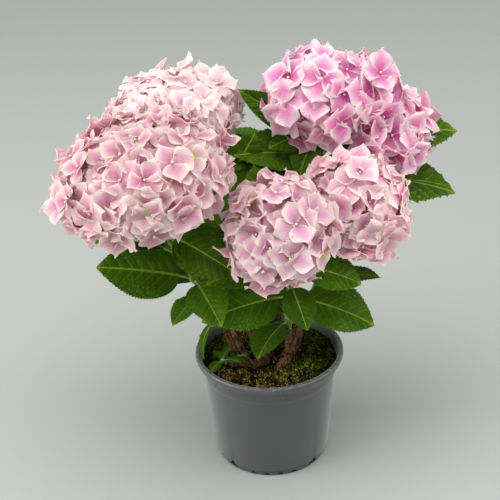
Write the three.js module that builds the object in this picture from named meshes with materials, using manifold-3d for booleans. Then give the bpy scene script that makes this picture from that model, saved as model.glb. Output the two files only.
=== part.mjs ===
// A potted mophead hydrangea: woody crown, leaning stems, leafy shoots and five flower heads.
// Millimetres, +Z up, origin at the centre of the pot's flat underside, seen from -Y as its front.
import * as THREE from "three";
import { mergeVertices } from "three/addons/utils/BufferGeometryUtils.js";
import Module from "manifold-3d";

const wasm = await Module();
wasm.setup();

// ---- driving dimensions ----------------------------------------------------------------
const GAP = 0.3; // clearance between touching pieces
const POT_HEIGHT = 151;
const RIM_RADIUS = 95.5;
const FOOT_RADIUS = 70;
const FOOT_HEIGHT = 8.5;
const WALL = 2.2;
const POT_SIDES = 40;
const FLOOR_TOP = 3.5;
const BAND_BOTTOM = 127; // where the wall steps out to the stiff band under the rim
const BAND_RADIUS = 84.5; // outside of the wall just under that band
const SOIL_TOP = 136;
const CROWN = [-8, -8]; // middle of the woody crown on the soil
const CROWN_RADIUS = 15;
const CROWN_RISE = 17;
const SHOOT_START = 159; // height at which the woody stems leave the crown
const ARM_RADIUS = [8.5, 6.5];
const ARM_BEND = 13; // how far below its end an arm turns upwards
const BOUGH_RADIUS = [6.2, 4.6]; // woody stem at its foot and where the green shoot takes over
const STEM_RADIUS = [4.3, 3.1]; // green shoot at its foot and under the flower head
const LEAF_THICKNESS = 2.2;
const STALK_SHARE = 0.17; // share of a leaf's length that is its stalk
const LEAF_WIDTH = 0.37; // half width of a blade as a share of its length
const LEAF_ARCH = 0.3;
const FLORET_RADIUS = 27;
const FLORET_SPACING = 43.5;
const FLORETS_END = -0.5; // how far under its widest ring a head still carries florets
const CORE_DEPTH = 15; // how far the head's dense middle lies under the sepal tips
const FIRST_SEED = 40;
const FINEST_DETAIL = 0.15; // slivers smaller than this are smoothed away where solids join
const UP = new THREE.Vector3(0, 0, 1);

// Low mounds of moss and crumbs on the soil: x, y, radius, height.
const MOUNDS = [
  [12, -58, 24, 5],
  [52, -34, 22, 6],
  [-44, -48, 20, 4],
  [60, 28, 26, 3],
  [-58, 30, 24, 3],
  [-6, 62, 28, 4],
];

// One row per shoot. foot: where its woody stem leaves the crown. woody: how far up it is brown.
// heads: middle, radius across, half depth, lean in degrees from upright, and the compass
// direction of that lean (0 is +X, 90 is +Y). A shoot with no head ends in its tip point.
// leaves: how far up the stem, compass direction, length with its stalk, rise above level, and
// roll about its own length (positive drops the edge on the right, seen from the stem), and where
// the blade is a slim one, its share of the usual width.
const SHOOTS = [
  {
    name: "left_front",
    foot: [-46, -16],
    woody: 0.2,
    heads: [{ at: [-135, -80, 432], wide: 109, deep: 67, lean: 13, toward: 215 }],
    leaves: [
      [0.24, 212, 60, -66, 0, 0.4],
      [0.4, -134, 58, -18, 0],
      [0.36, 74, 84, 14, 0],
      [0.5, -163, 122, 26, -38],
      [0.5, -66, 82, -16, 14],
      [0.66, 168, 104, 10, 0],
      [0.66, 60, 96, 12, 0],
      [0.8, -33, 104, -16, 34],
      [0.8, 140, 122, 4, 0],
      [0.84, -84, 92, -12, 30],
    ],
  },
  {
    name: "left_back",
    foot: [-22, 18],
    woody: 0.2,
    heads: [{ at: [-103, 105, 437], wide: 87, deep: 62, lean: 10, toward: 130 }],
    leaves: [
      [0.36, 176, 104, 10, 0],
      [0.36, 88, 96, 16, 0],
      [0.52, 120, 118, 14, 0],
      [0.58, 2, 130, 60, 78],
      [0.7, 196, 112, 2, 0],
      [0.84, 70, 124, 0, 0],
      [0.84, 172, 120, 2, 0],
      [0.86, -8, 112, 4, 20],
    ],
  },
  {
    name: "right_back",
    foot: [8, 12],
    woody: 0.18,
    heads: [
      { at: [74, 70, 466], wide: 76, deep: 62, lean: 22, toward: -115 },
      { at: [162, 75, 411], wide: 69, deep: 60, lean: 42, toward: -35 },
    ],
    leaves: [
      [0.46, 52, 116, 16, 0],
      [0.46, 165, 92, 20, 0],
      [0.64, 214, 116, 18, -30],
      [0.64, 20, 128, 2, 0],
      [0.76, 188, 140, 34, -24],
      [0.76, -14, 164, 10, 22],
      [0.86, 172, 136, 44, -50],
      [0.86, 84, 122, 2, 0],
      [0.92, 2, 172, 3, 16],
      [0.92, 204, 100, 14, -30],
    ],
  },
  {
    name: "centre_front",
    foot: [24, -22],
    woody: 0.2,
    heads: [{ at: [9, -119, 378], wide: 74, deep: 61, lean: 42, toward: -108 }],
    leaves: [
      [0.27, -120, 68, -10, 12],
      [0.26, 112, 70, 8, 0],
      [0.46, 207, 116, 2, -34],
      [0.46, -16, 108, -14, 30],
      [0.66, 192, 100, 2, -12],
      [0.74, -10, 88, -14, 30],
      [0.74, 140, 90, 6, 0],
    ],
  },
  {
    name: "right_front",
    foot: [36, -6],
    woody: 0.2,
    heads: [{ at: [106, -33, 359], wide: 74, deep: 60, lean: 34, toward: -58 }],
    leaves: [
      [0.34, 8, 92, -26, 10],
      [0.34, 196, 60, 10, 0],
      [0.56, 62, 112, 6, 0],
      [0.8, 24, 118, -6, 0],
      [0.8, 200, 70, 0, 0],
    ],
  },
  {
    name: "basal",
    foot: [-31, -31],
    woody: 0,
    tip: [-59, -42, 172],
    leaves: [
      [0.5, 205, 26, 4, 0],
      [0.5, -40, 24, 4, 0],
      [0.98, -130, 32, -14, 0],
      [0.98, 30, 26, 52, 0],
      [0.98, -26, 34, 10, 0],
      [0.98, 130, 24, 22, 0],
    ],
  },
  {
    name: "back",
    foot: [-6, 28],
    woody: 0.3,
    tip: [4, 128, 350],
    leaves: [
      [0.45, 50, 104, 10, 0],
      [0.55, 150, 84, 14, 0],
      [0.7, 84, 122, 6, 0],
      [0.8, -40, 84, 20, 0],
      [0.97, 30, 110, 16, 0],
      [0.97, 120, 112, 10, 0],
    ],
  },
  {
    name: "back_right",
    foot: [34, 10],
    woody: 0.3,
    tip: [122, 96, 268],
    leaves: [
      [0.5, 86, 96, 6, 0],
      [0.5, 0, 72, 2, 0],
      [0.8, 46, 112, 4, 0],
      [0.98, 100, 106, 6, 0],
      [0.98, 18, 80, 4, 0],
    ],
  },
  {
    name: "back_left",
    foot: [-40, 6],
    woody: 0.3,
    tip: [-124, 92, 276],
    leaves: [
      [0.5, 100, 94, 8, 0],
      [0.5, 172, 72, 6, 0],
      [0.8, 136, 112, 6, 0],
      [0.98, 84, 104, 8, 0],
      [0.98, 166, 84, 4, 0],
    ],
  },
];

// ---- solids ----------------------------------------------------------------------------
// A repeatable stream of numbers between 0 and 1.
function seeded(seed) {
  let state = seed >>> 0;
  return () => {
    state = (state + 0x6d2b79f5) >>> 0;
    let mixed = Math.imul(state ^ (state >>> 15), 1 | state);
    mixed = (mixed + Math.imul(mixed ^ (mixed >>> 7), 61 | mixed)) ^ mixed;
    return ((mixed ^ (mixed >>> 14)) >>> 0) / 4294967296;
  };
}

function solidOf(geometry) {
  const bare = geometry.clone();
  bare.deleteAttribute("normal");
  bare.deleteAttribute("uv");
  const merged = mergeVertices(bare, 1e-3);
  return new wasm.Manifold(
    new wasm.Mesh({
      numProp: 3,
      vertProperties: new Float32Array(merged.attributes.position.array),
      triVerts: new Uint32Array(merged.index.array),
    }),
  );
}

function geometryOf(solid) {
  const mesh = solid.getMesh();
  const geometry = new THREE.BufferGeometry();
  geometry.setAttribute("position", new THREE.BufferAttribute(mesh.vertProperties, 3));
  geometry.setIndex(new THREE.BufferAttribute(mesh.triVerts, 1));
  return geometry.toNonIndexed();
}

function meshOfPoints(points, faces) {
  const geometry = new THREE.BufferGeometry();
  const flat = points.flatMap((point) => [point.x, point.y, point.z]);
  geometry.setAttribute("position", new THREE.Float32BufferAttribute(flat, 3));
  geometry.setIndex(faces.flat());
  return geometry;
}

// Joins solids into one closed body. Scraps and sealed hollows are dropped.
function fuse(solids) {
  const whole = wasm.Manifold.union(solids).simplify(FINEST_DETAIL);
  const bodies = whole.decompose();
  return bodies.reduce((best, body) => (body.volume() > best.volume() ? body : best));
}

// A tapering limb along part of a curve, with flat ends square to it.
function limb(curve, { from = 0, to = 1, radii, sides = 6, steps = 6, startGap = 0 }) {
  const points = [];
  const faces = [];
  let side = new THREE.Vector3(1, 0, 0);
  for (let step = 0; step <= steps; step += 1) {
    const along = step / steps;
    const at = from + (to - from) * along;
    const tangent = curve.getTangent(at);
    const centre = curve.getPoint(at);
    if (step === 0) centre.addScaledVector(tangent, startGap);
    side = side.clone().addScaledVector(tangent, -side.dot(tangent)).normalize();
    const across = new THREE.Vector3().crossVectors(tangent, side);
    const radius = radii[0] + (radii[1] - radii[0]) * along;
    for (let k = 0; k < sides; k += 1) {
      const angle = (2 * Math.PI * k) / sides;
      points.push(
        centre
          .clone()
          .addScaledVector(side, radius * Math.cos(angle))
          .addScaledVector(across, radius * Math.sin(angle)),
      );
    }
  }
  for (let step = 0; step < steps; step += 1) {
    for (let k = 0; k < sides; k += 1) {
      const a = step * sides + k;
      const b = step * sides + ((k + 1) % sides);
      faces.push([a, b, b + sides], [a, b + sides, a + sides]);
    }
  }
  const last = steps * sides;
  for (let k = 1; k < sides - 1; k += 1) {
    faces.push([0, k + 1, k], [last, last + k, last + k + 1]);
  }
  return solidOf(meshOfPoints(points, faces));
}

// ---- pot and soil ----------------------------------------------------------------------
const OUTER_WALL = [
  [0, 0],
  [FOOT_RADIUS - 0.5, 0],
  [FOOT_RADIUS, FOOT_HEIGHT],
  [FOOT_RADIUS + 4.8, FOOT_HEIGHT + 1.5],
  [BAND_RADIUS, BAND_BOTTOM],
  [88.6, BAND_BOTTOM + 2.5],
  [89.8, POT_HEIGHT - 8.5],
  [RIM_RADIUS - 0.8, POT_HEIGHT - 7.5],
  [RIM_RADIUS, POT_HEIGHT - 3.5],
  [RIM_RADIUS - 1.2, POT_HEIGHT - 0.6],
  [RIM_RADIUS - 3.5, POT_HEIGHT],
];
const INNER_WALL = [
  [RIM_RADIUS - 6, POT_HEIGHT - 1],
  [87.6, POT_HEIGHT - 8.5],
  [86.4, BAND_BOTTOM + 2],
  [BAND_RADIUS - WALL, BAND_BOTTOM - 1],
  [FOOT_RADIUS + 4.8 - WALL, FOOT_HEIGHT + 3],
  [FOOT_RADIUS - 3, FLOOR_TOP],
  [0, FLOOR_TOP],
];

// A drain opening through the corner between floor and wall.
function drain(angle, outline) {
  const shape = new THREE.Shape(outline.map(([x, y]) => new THREE.Vector2(x, y)));
  const prism = new THREE.ExtrudeGeometry(shape, { depth: 14, bevelEnabled: false });
  prism.rotateX(Math.PI / 2);
  prism.translate(0, FOOT_RADIUS + 8, 0);
  prism.rotateZ(angle - Math.PI / 2);
  return solidOf(prism);
}

function pot() {
  const profile = [...OUTER_WALL, ...INNER_WALL].map(([r, z]) => new THREE.Vector2(r, z));
  const turned = new THREE.LatheGeometry(profile, POT_SIDES);
  turned.rotateX(Math.PI / 2);
  const triangle = [
    [-5.5, 4.5],
    [5.5, 4.5],
    [0, 14],
  ];
  const arch = [
    [-4.5, 4.2],
    [4.5, 4.2],
    [2.2, 8.4],
    [-2.2, 8.4],
  ];
  const cuts = [];
  for (let quarter = 0; quarter < 4; quarter += 1) {
    const middle = ((quarter - 1) * Math.PI) / 2;
    cuts.push(drain(middle + Math.PI / 4, triangle));
    for (const side of [-1.5, -0.5, 0.5, 1.5]) {
      cuts.push(drain(middle + (side * Math.PI) / 13, arch));
    }
  }
  return solidOf(turned).subtract(wasm.Manifold.union(cuts));
}

// Height of the soil: level under the crown, with mounds and crumbs further out.
function soilHeight(x, y) {
  const away = Math.hypot(x - CROWN[0], y - CROWN[1]);
  const free = THREE.MathUtils.smoothstep(away, CROWN_RADIUS + 14, CROWN_RADIUS + 36);
  const broad = 0.9 * Math.sin(0.31 * x + 1.7) * Math.cos(0.27 * y);
  const fine = 0.6 * Math.sin(0.7 * x - 0.5 * y);
  const raised = MOUNDS.reduce((sum, [middleX, middleY, radius, height]) => {
    const off = Math.hypot(x - middleX, y - middleY) / radius;
    return sum + height * Math.exp(-off * off);
  }, 0);
  return SOIL_TOP + free * (raised + broad + fine);
}

function soil() {
  const clear = GAP + 0.2;
  const rings = [14, 28, 42, 56, 70, 86.8 - clear];
  const walls = [
    [86.2 - clear, BAND_BOTTOM + 2],
    [BAND_RADIUS - 0.3 - WALL - clear, BAND_BOTTOM - 1.4],
    [FOOT_RADIUS + 4.6 - WALL - clear, FOOT_HEIGHT + 3.2],
    [FOOT_RADIUS - 3.4 - clear, FLOOR_TOP + GAP],
  ];
  const points = [new THREE.Vector3(0, 0, soilHeight(0, 0))];
  const ringAt = (radius, heightAt) => {
    for (let k = 0; k < POT_SIDES; k += 1) {
      const angle = (2 * Math.PI * k) / POT_SIDES;
      const x = radius * Math.cos(angle);
      const y = radius * Math.sin(angle);
      points.push(new THREE.Vector3(x, y, heightAt(x, y)));
    }
  };
  rings.forEach((radius) => ringAt(radius, soilHeight));
  walls.forEach(([radius, z]) => ringAt(radius, () => z));
  const last = points.push(new THREE.Vector3(0, 0, FLOOR_TOP + GAP)) - 1;
  const faces = [];
  const count = rings.length + walls.length;
  for (let k = 0; k < POT_SIDES; k += 1) {
    const next = (k + 1) % POT_SIDES;
    faces.push([0, 1 + k, 1 + next]);
    for (let ring = 0; ring < count - 1; ring += 1) {
      const a = 1 + ring * POT_SIDES + k;
      const b = 1 + ring * POT_SIDES + next;
      faces.push([a, a + POT_SIDES, b + POT_SIDES], [a, b + POT_SIDES, b]);
    }
    const rim = 1 + (count - 1) * POT_SIDES;
    faces.push([rim + k, last, rim + next]);
  }
  return solidOf(meshOfPoints(points, faces));
}

// ---- stems -----------------------------------------------------------------------------
const compass = (degrees) => {
  const angle = THREE.MathUtils.degToRad(degrees);
  return new THREE.Vector3(Math.cos(angle), Math.sin(angle), 0);
};

function headAxis({ lean, toward }) {
  const tilt = THREE.MathUtils.degToRad(lean);
  return compass(toward).multiplyScalar(Math.sin(tilt)).addScaledVector(UP, Math.cos(tilt));
}

// Where a head's stalk enters it.
function headSeat(head) {
  return new THREE.Vector3(...head.at).addScaledVector(headAxis(head), -0.5 * head.deep);
}

// A stem sets off mostly upwards and arrives along the axis of its head.
function stemCurve(start, end, arrival) {
  const span = end.clone().sub(start);
  const reach = span.length();
  const leaving = new THREE.Vector3((0.6 * span.x) / reach, (0.6 * span.y) / reach, 1).normalize();
  return new THREE.CubicBezierCurve3(
    start,
    start.clone().addScaledVector(leaving, 0.3 * reach),
    end.clone().addScaledVector(arrival, -0.27 * reach),
    end,
  );
}

function shootCurve(shoot) {
  const start = new THREE.Vector3(...shoot.foot, SHOOT_START);
  if (shoot.heads) return stemCurve(start, headSeat(shoot.heads[0]), headAxis(shoot.heads[0]));
  const end = new THREE.Vector3(...shoot.tip);
  return stemCurve(start, end, new THREE.Vector3(end.x - start.x, end.y - start.y, 160).normalize());
}

// The crown sits on the soil on a flat cut and reaches out in one short arm for each shoot.
function crown(curves) {
  const foot = new THREE.Vector3(...CROWN, SOIL_TOP - 4);
  const top = new THREE.Vector3(CROWN[0] + 1.5, CROWN[1] + 0.5, SOIL_TOP + CROWN_RISE);
  const stump = new THREE.LineCurve3(foot, top);
  const pieces = [limb(stump, { radii: [CROWN_RADIUS, 10], sides: 10, steps: 1 })];
  curves.forEach((curve) => {
    const leaving = curve.getTangent(0);
    const end = curve.getPoint(0).addScaledVector(leaving, -GAP / 2);
    const bend = end.clone().addScaledVector(leaving, -ARM_BEND);
    const root = foot.clone().setZ(SOIL_TOP + 0.65 * CROWN_RISE);
    const arm = new THREE.QuadraticBezierCurve3(root, bend, end);
    pieces.push(limb(arm, { radii: ARM_RADIUS, sides: 7, steps: 4 }));
  });
  return fuse(pieces).trimByPlane([0, 0, 1], SOIL_TOP + GAP);
}

// ---- leaves and florets ----------------------------------------------------------------
// A leaf with its stalk: an arched blade, folded a little along its midrib.
function leaf(curve, [along, turn, span, rise, roll, slim = 1]) {
  const base = curve.getPoint(along);
  const tilt = THREE.MathUtils.degToRad(rise);
  const chord = compass(turn).multiplyScalar(Math.cos(tilt)).addScaledVector(UP, Math.sin(tilt));
  const across = new THREE.Vector3().crossVectors(chord, UP).normalize();
  across.applyAxisAngle(chord, THREE.MathUtils.degToRad(roll));
  const face = new THREE.Vector3().crossVectors(across, chord);
  const stout = Math.min(1, 0.3 + span / 90);
  const midrib = (s) => {
    const straight = base.clone().addScaledVector(chord, s * span);
    return straight.addScaledVector(face, LEAF_ARCH * span * s * (1 - s));
  };
  const width = LEAF_WIDTH * (1 - STALK_SHARE) * span * slim;
  const edge = (s, side, share) =>
    midrib(s)
      .addScaledVector(across, side * share * width)
      .addScaledVector(face, 0.16 * share * width);
  const rib = (s, side) => midrib(s).addScaledVector(face, (side * stout * LEAF_THICKNESS) / 2);
  const stations = [0.38, 0.72];
  const points = [
    midrib(STALK_SHARE - 0.02),
    ...stations.flatMap((s) => [rib(s, 1), rib(s, -1)]),
    ...stations.flatMap((s, k) => [edge(s, -1, 1 - 0.18 * k), edge(s, 1, 1 - 0.18 * k)]),
    midrib(1),
  ];
  // 0 root, 1/2 first rib up/down, 3/4 second rib up/down, 5/6 first edges, 7/8 second edges, 9 tip
  const upper = [
    [0, 1, 5],
    [5, 1, 3],
    [5, 3, 7],
    [7, 3, 9],
    [0, 6, 1],
    [6, 3, 1],
    [6, 8, 3],
    [8, 9, 3],
  ];
  const lower = upper.map(([a, b, c]) => [a, c, b].map((v) => (v === 1 || v === 3 ? v + 1 : v)));
  const blade = solidOf(meshOfPoints(points, [...upper, ...lower]));
  const line = new THREE.QuadraticBezierCurve3(base, midrib(STALK_SHARE / 2), midrib(STALK_SHARE + 0.06));
  return blade.add(limb(line, { radii: [2.2, 1.5].map((r) => r * stout), sides: 3, steps: 2 }));
}

// One floret: four broad pointed sepals as a shallow cup on a stalk sunk into the head.
function floret(centre, outward, spin, radius) {
  const side = new THREE.Vector3(0, 0, 1).cross(outward);
  if (side.lengthSq() < 0.01) side.set(1, 0, 0).cross(outward);
  side.normalize();
  const other = new THREE.Vector3().crossVectors(outward, side);
  const points = [centre.clone(), centre.clone().addScaledVector(outward, -0.62 * radius)];
  for (let k = 0; k < 8; k += 1) {
    const angle = spin + (k * Math.PI) / 4;
    const reach = k % 2 === 0 ? radius : 0.66 * radius;
    const lift = k % 2 === 0 ? 0.14 * radius : 0.02 * radius;
    points.push(
      centre
        .clone()
        .addScaledVector(side, reach * Math.cos(angle))
        .addScaledVector(other, reach * Math.sin(angle))
        .addScaledVector(outward, lift),
    );
  }
  const faces = [];
  for (let k = 0; k < 8; k += 1) {
    const a = 2 + k;
    const b = 2 + ((k + 1) % 8);
    faces.push([0, a, b], [1, b, a]);
  }
  return solidOf(meshOfPoints(points, faces));
}

// The middle of a head, which its florets stand out of.
function headCore(head) {
  const geometry = new THREE.IcosahedronGeometry(1, 2);
  geometry.scale(head.wide - CORE_DEPTH, head.wide - CORE_DEPTH, head.deep - CORE_DEPTH);
  geometry.applyQuaternion(new THREE.Quaternion().setFromUnitVectors(UP, headAxis(head)));
  geometry.translate(...head.at);
  return solidOf(geometry);
}

// Places over a head in a golden-angle spiral, from its crown to a little way under its edge.
function* floretPlaces(head, random) {
  const turn = new THREE.Quaternion().setFromUnitVectors(UP, headAxis(head));
  const wide = head.wide - CORE_DEPTH;
  const deep = head.deep - CORE_DEPTH;
  const area = 2 * Math.PI * wide * (0.55 * wide + 0.45 * deep) * (1 - FLORETS_END);
  const count = Math.round(area / FLORET_SPACING ** 2);
  const golden = Math.PI * (3 - Math.sqrt(5));
  for (let k = 0; k < count; k += 1) {
    const level = 1 - ((k + 0.5) / count) * (1 - FLORETS_END);
    const ring = Math.sqrt(1 - level * level);
    const angle = k * golden + 0.3 * random();
    const unit = new THREE.Vector3(ring * Math.cos(angle), ring * Math.sin(angle), level);
    const place = new THREE.Vector3(unit.x * wide, unit.y * wide, unit.z * deep);
    const outward = new THREE.Vector3(unit.x / wide, unit.y / wide, unit.z / deep).normalize();
    place.addScaledVector(outward, 6 + 3 * random());
    yield {
      centre: place.applyQuaternion(turn).add(new THREE.Vector3(...head.at)),
      outward: outward.applyQuaternion(turn),
      spin: Math.PI * random(),
      radius: FLORET_RADIUS * (0.88 + 0.24 * random()),
    };
  }
}

// ---- masses ----------------------------------------------------------------------------
const boxesApart = (a, b) =>
  [0, 1, 2].some((axis) => a.max[axis] < b.min[axis] || b.max[axis] < a.min[axis]);

// True where a solid touches none of the others.
function isClear(solid, others) {
  const box = solid.boundingBox();
  return others.every(
    (other) => boxesApart(box, other.box) || solid.intersect(other.solid).volume() < 1e-6,
  );
}

const withBox = (solid) => ({ solid, box: solid.boundingBox() });

function shootStem(shoot, curve) {
  const slender = Math.min(1, curve.getLength() / 90);
  const radii = STEM_RADIUS.map((radius) => radius * slender);
  const main = limb(curve, { from: shoot.woody, radii, steps: 8, startGap: GAP });
  if (!shoot.heads || shoot.heads.length === 1) return [main];
  const fork = curve.getPoint(0.8);
  const branches = shoot.heads.slice(1).map((head) => {
    const line = stemCurve(fork, headSeat(head), headAxis(head));
    return limb(line, { radii: [3.4, 2.8], steps: 4 });
  });
  return [main, ...branches];
}

// ---- assembly --------------------------------------------------------------------------
const COLOURS = {
  pot: ["#6b6c6e", 0.55],
  soil: ["#2a2118", 0.95],
  wood: ["#6f5138", 0.85],
  shoot: ["#3c6a1e", 0.6],
  bloom: ["#e6bcd4", 0.7],
};

const group = new THREE.Group();
function place(name, solid, look) {
  const [color, roughness] = COLOURS[look];
  const material = new THREE.MeshStandardMaterial({ color, roughness, metalness: 0 });
  const mesh = new THREE.Mesh(geometryOf(solid), material);
  mesh.name = name;
  group.add(mesh);
}

const curves = SHOOTS.map(shootCurve);
const fixed = { pot: pot(), soil: soil(), root_crown: crown(curves) };
place("pot", fixed.pot, "pot");
place("soil", fixed.soil, "soil");
place("root_crown", fixed.root_crown, "wood");
const solidLimbs = Object.values(fixed).map(withBox);
SHOOTS.forEach((shoot, k) => {
  if (shoot.woody === 0) return;
  const bough = limb(curves[k], { to: shoot.woody, radii: BOUGH_RADIUS, sides: 7, steps: 4, startGap: GAP });
  place(`bough_${shoot.name}`, bough, "wood");
  solidLimbs.push(withBox(bough));
});

// Each mass starts as its stem and the dense middle of its head, and then takes the leaves and
// florets that touch no limb and no other mass.
const masses = SHOOTS.map((shoot, k) => ({
  shoot,
  curve: curves[k],
  kept: [...shootStem(shoot, curves[k]), ...(shoot.heads ?? []).map(headCore)].map(withBox),
}));
const allBut = (mass) => [...solidLimbs, ...masses.filter((m) => m !== mass).flatMap((m) => m.kept)];
for (const mass of masses) {
  const others = allBut(mass);
  for (const row of mass.shoot.leaves) {
    const blade = leaf(mass.curve, row);
    if (isClear(blade, others)) mass.kept.push(withBox(blade));
  }
}
for (const [k, mass] of masses.entries()) {
  const others = allBut(mass);
  const random = seeded(FIRST_SEED + k);
  for (const head of mass.shoot.heads ?? []) {
    for (const { centre, outward, spin, radius } of floretPlaces(head, random)) {
      const flower = floret(centre, outward, spin, radius);
      if (isClear(flower, others)) mass.kept.push(withBox(flower));
    }
  }
}
for (const { shoot, kept } of masses) {
  const blooming = Boolean(shoot.heads);
  const name = blooming ? `bloom_shoot_${shoot.name}` : `leafy_shoot_${shoot.name}`;
  place(name, fuse(kept.map(({ solid }) => solid)), blooming ? "bloom" : "shoot");
}

export default group;
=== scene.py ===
import math

import bmesh
import bpy
import numpy as np
from mathutils import Matrix, Vector, noise


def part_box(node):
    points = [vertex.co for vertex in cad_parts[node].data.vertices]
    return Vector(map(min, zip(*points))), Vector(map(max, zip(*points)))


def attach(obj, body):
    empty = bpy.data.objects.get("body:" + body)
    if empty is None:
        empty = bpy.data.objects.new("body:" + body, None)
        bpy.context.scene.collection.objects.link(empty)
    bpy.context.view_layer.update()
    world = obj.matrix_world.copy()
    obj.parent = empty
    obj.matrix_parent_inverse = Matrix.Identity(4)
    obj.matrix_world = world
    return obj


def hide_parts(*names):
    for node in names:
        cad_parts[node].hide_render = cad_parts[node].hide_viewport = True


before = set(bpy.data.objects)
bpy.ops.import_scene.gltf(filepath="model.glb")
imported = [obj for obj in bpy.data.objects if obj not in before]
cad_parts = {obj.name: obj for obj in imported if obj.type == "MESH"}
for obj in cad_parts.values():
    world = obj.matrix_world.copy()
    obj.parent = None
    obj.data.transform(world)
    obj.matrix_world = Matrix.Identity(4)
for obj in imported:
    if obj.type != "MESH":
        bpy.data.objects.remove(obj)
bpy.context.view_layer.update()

# ---- driving sizes -----------------------------------------------------------------------
MM = 0.001
UP = np.array([0.0, 0.0, 1.0])
RIM_RADIUS, _, POT_HEIGHT = np.array(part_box("pot")[1]) / MM
FOOT_RADIUS = 70
FOOT_HEIGHT = 8.5
FLOOR_TOP = 3.5
WALL = 2.2
BAND_BOTTOM = 121  # where the wall steps out to the stiff band under the rim
BAND_LOW = BAND_BOTTOM + 8  # where the band is fully out
BAND_TOP = POT_HEIGHT - 9.5
WALL_TOP_RADIUS = 84.0  # outside of the wall just under the band
BAND_LOW_RADIUS, BAND_TOP_RADIUS = 86.8, 89.6
POT_SIDES = 192
SOIL_TOP = 136
SOIL_RADIUS = 85.6
SOIL_RINGS, SOIL_SIDES = 62, 190
CROWN = (-8, -8)  # middle of the woody crown on the soil
CROWN_RADIUS = 15
CROWN_RISE = 17
SHOOT_START = 159  # height at which the woody stems leave the crown
BOUGH_RADIUS = (4.2, 4.0)
STEM_RADIUS = (3.5, 2.8)
BRANCH_RADIUS = (2.9, 2.5)  # of a branch to a further lobe of a head
FORK_SHARE = 0.8  # how far up its stem that branch leaves
LIMB_SIDES, STEM_SIDES = 26, 14
ARM_RADII = (3.8, 3.6, 4.2)  # of the crown's arm to a woody stem, along it
SPROUT_ARM_RADII = (5, 3, 2)
# An old cut-back stem lies low towards the left, and a stump stands at the right.
OLD_STEM = ((-10, -14, 140), (-34, -24, 138), (-56, -22, 146))
OLD_STEM_RADII = (5, 4.5, 4.2, 3.6)
STUMP = ((8, -26, 133), (14, -29, 143), (24, -30, 153))
STUMP_RADII = (5.2, 4.8, 4.6, 4.2)
RIDGE_DEPTH, KNOT_DEPTH = 0.2, 0.7  # of bark and knots, as shares of a limb's radius
STALK_SHARE = 0.17  # share of a leaf's length that is its stalk
LEAF_WIDTH = 0.37  # half width of a blade as a share of its length
LEAF_ARCH = 0.3
LEAF_THICKNESS = 0.7
LEAF_WAVES = (1.6, 2.6)  # along a margin, least and most
QUILT_HEIGHT = 0.026  # how far a blade bulges between its veins, as a share of its length
TOOTH_DEPTH = 0.05  # share of the half width
TOOTH_LEAN = 0.6  # how far a tooth points forward, as a share of a row of points
TIP_DROOP = 0.09  # most that a tip hangs, as a share of the length
RIB_END = 0.93
RIB_RADII = {0: 2.3, 0.05: 1.6, STALK_SHARE: 1.35, 0.6: 0.6, RIB_END: 0.25}
LEAF_TEETH = 30  # teeth along one side of a blade
LEAF_COLUMNS = 13
LEAF_VEINS = 8  # side veins along one half of a blade
VEIN_RISE = (0.24, 0.16)  # how far a side vein runs forward, by its distance from the midrib
VEIN_START = 0.35
PIECE_LIMIT = 185000  # triangles past which the leaves go on in a further piece
FLORET_SINK = 0.82  # how far floret middles lie under a head's outline, as a share of their size
GOLDEN_ANGLE = math.pi * (3 - math.sqrt(5))
SEPAL_ROWS, SEPAL_COLUMNS = 9, 7
# Sepals, from least to most. Rises are degrees over the floret's own plane, with their spread.
FACING_TILT = (0.03, 0.42)  # how far a floret tips away from its head's outward direction
FLORET_SIZES = (0.82, 1.12)
SEPAL_LENGTHS = (0.9, 1.08)  # shares of the floret's size
SEPAL_BREADTHS = (0.5, 0.65)  # half widths, as shares of the length
CUP_BY_PUSH, CUP_SPREAD = -14, 11  # a floret that is pushed out of the crowd lies more open
ROOT_RISE, ROOT_SPREAD = 26, 6
TIP_RISE, TIP_SPREAD = -6, 23
INNER_RISES = (7, 6)  # what the inner pair rises more, at the root and at the tip
CURL, CURL_SPREAD = -0.06, 0.14
RUFFLES = (0.08, 0.2)
RUFFLE_WAVES = (0.9, 1.9)
FOLDS = (0.0, 0.1)
NOTCHES = (0.03, 0.12)
LATE_SHARE = 0.65  # of the florets dealt the last cell, those that keep it
BEAD_RADII = (1.3, 2.1)
FORK_SPACING = 34  # between the forks that a head's stalks leave from
CELLS = 4  # a spray map holds this many cells a side, one for each tint
CELL_EDGE = 0.04  # share of a cell left free round its pattern

# Low mounds of moss and crumbs on the soil: x, y, radius, height.
MOUNDS = ((12, -58, 24, 5), (52, -34, 22, 6), (-44, -48, 20, 4))
MOUNDS += ((60, 28, 26, 3), (-58, 30, 24, 3), (-6, 62, 28, 4))
LUMP_HEIGHT, LUMP_WIDTH = 2.2, 9
GRIT_HEIGHT, GRIT_WIDTH = 0.9, 2.4


def head(at, wide, deep, lean, toward, spacing, floret, tone, end=-0.5):
    """A flower head: its middle, radius across, half depth and lean, then its florets and how far
    under its widest ring it still carries them, as a share of its half depth."""
    return dict(at=np.array(at, float), wide=wide, deep=deep, lean=lean, toward=toward,
                spacing=spacing, floret=floret, tone=tone, end=end)


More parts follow.
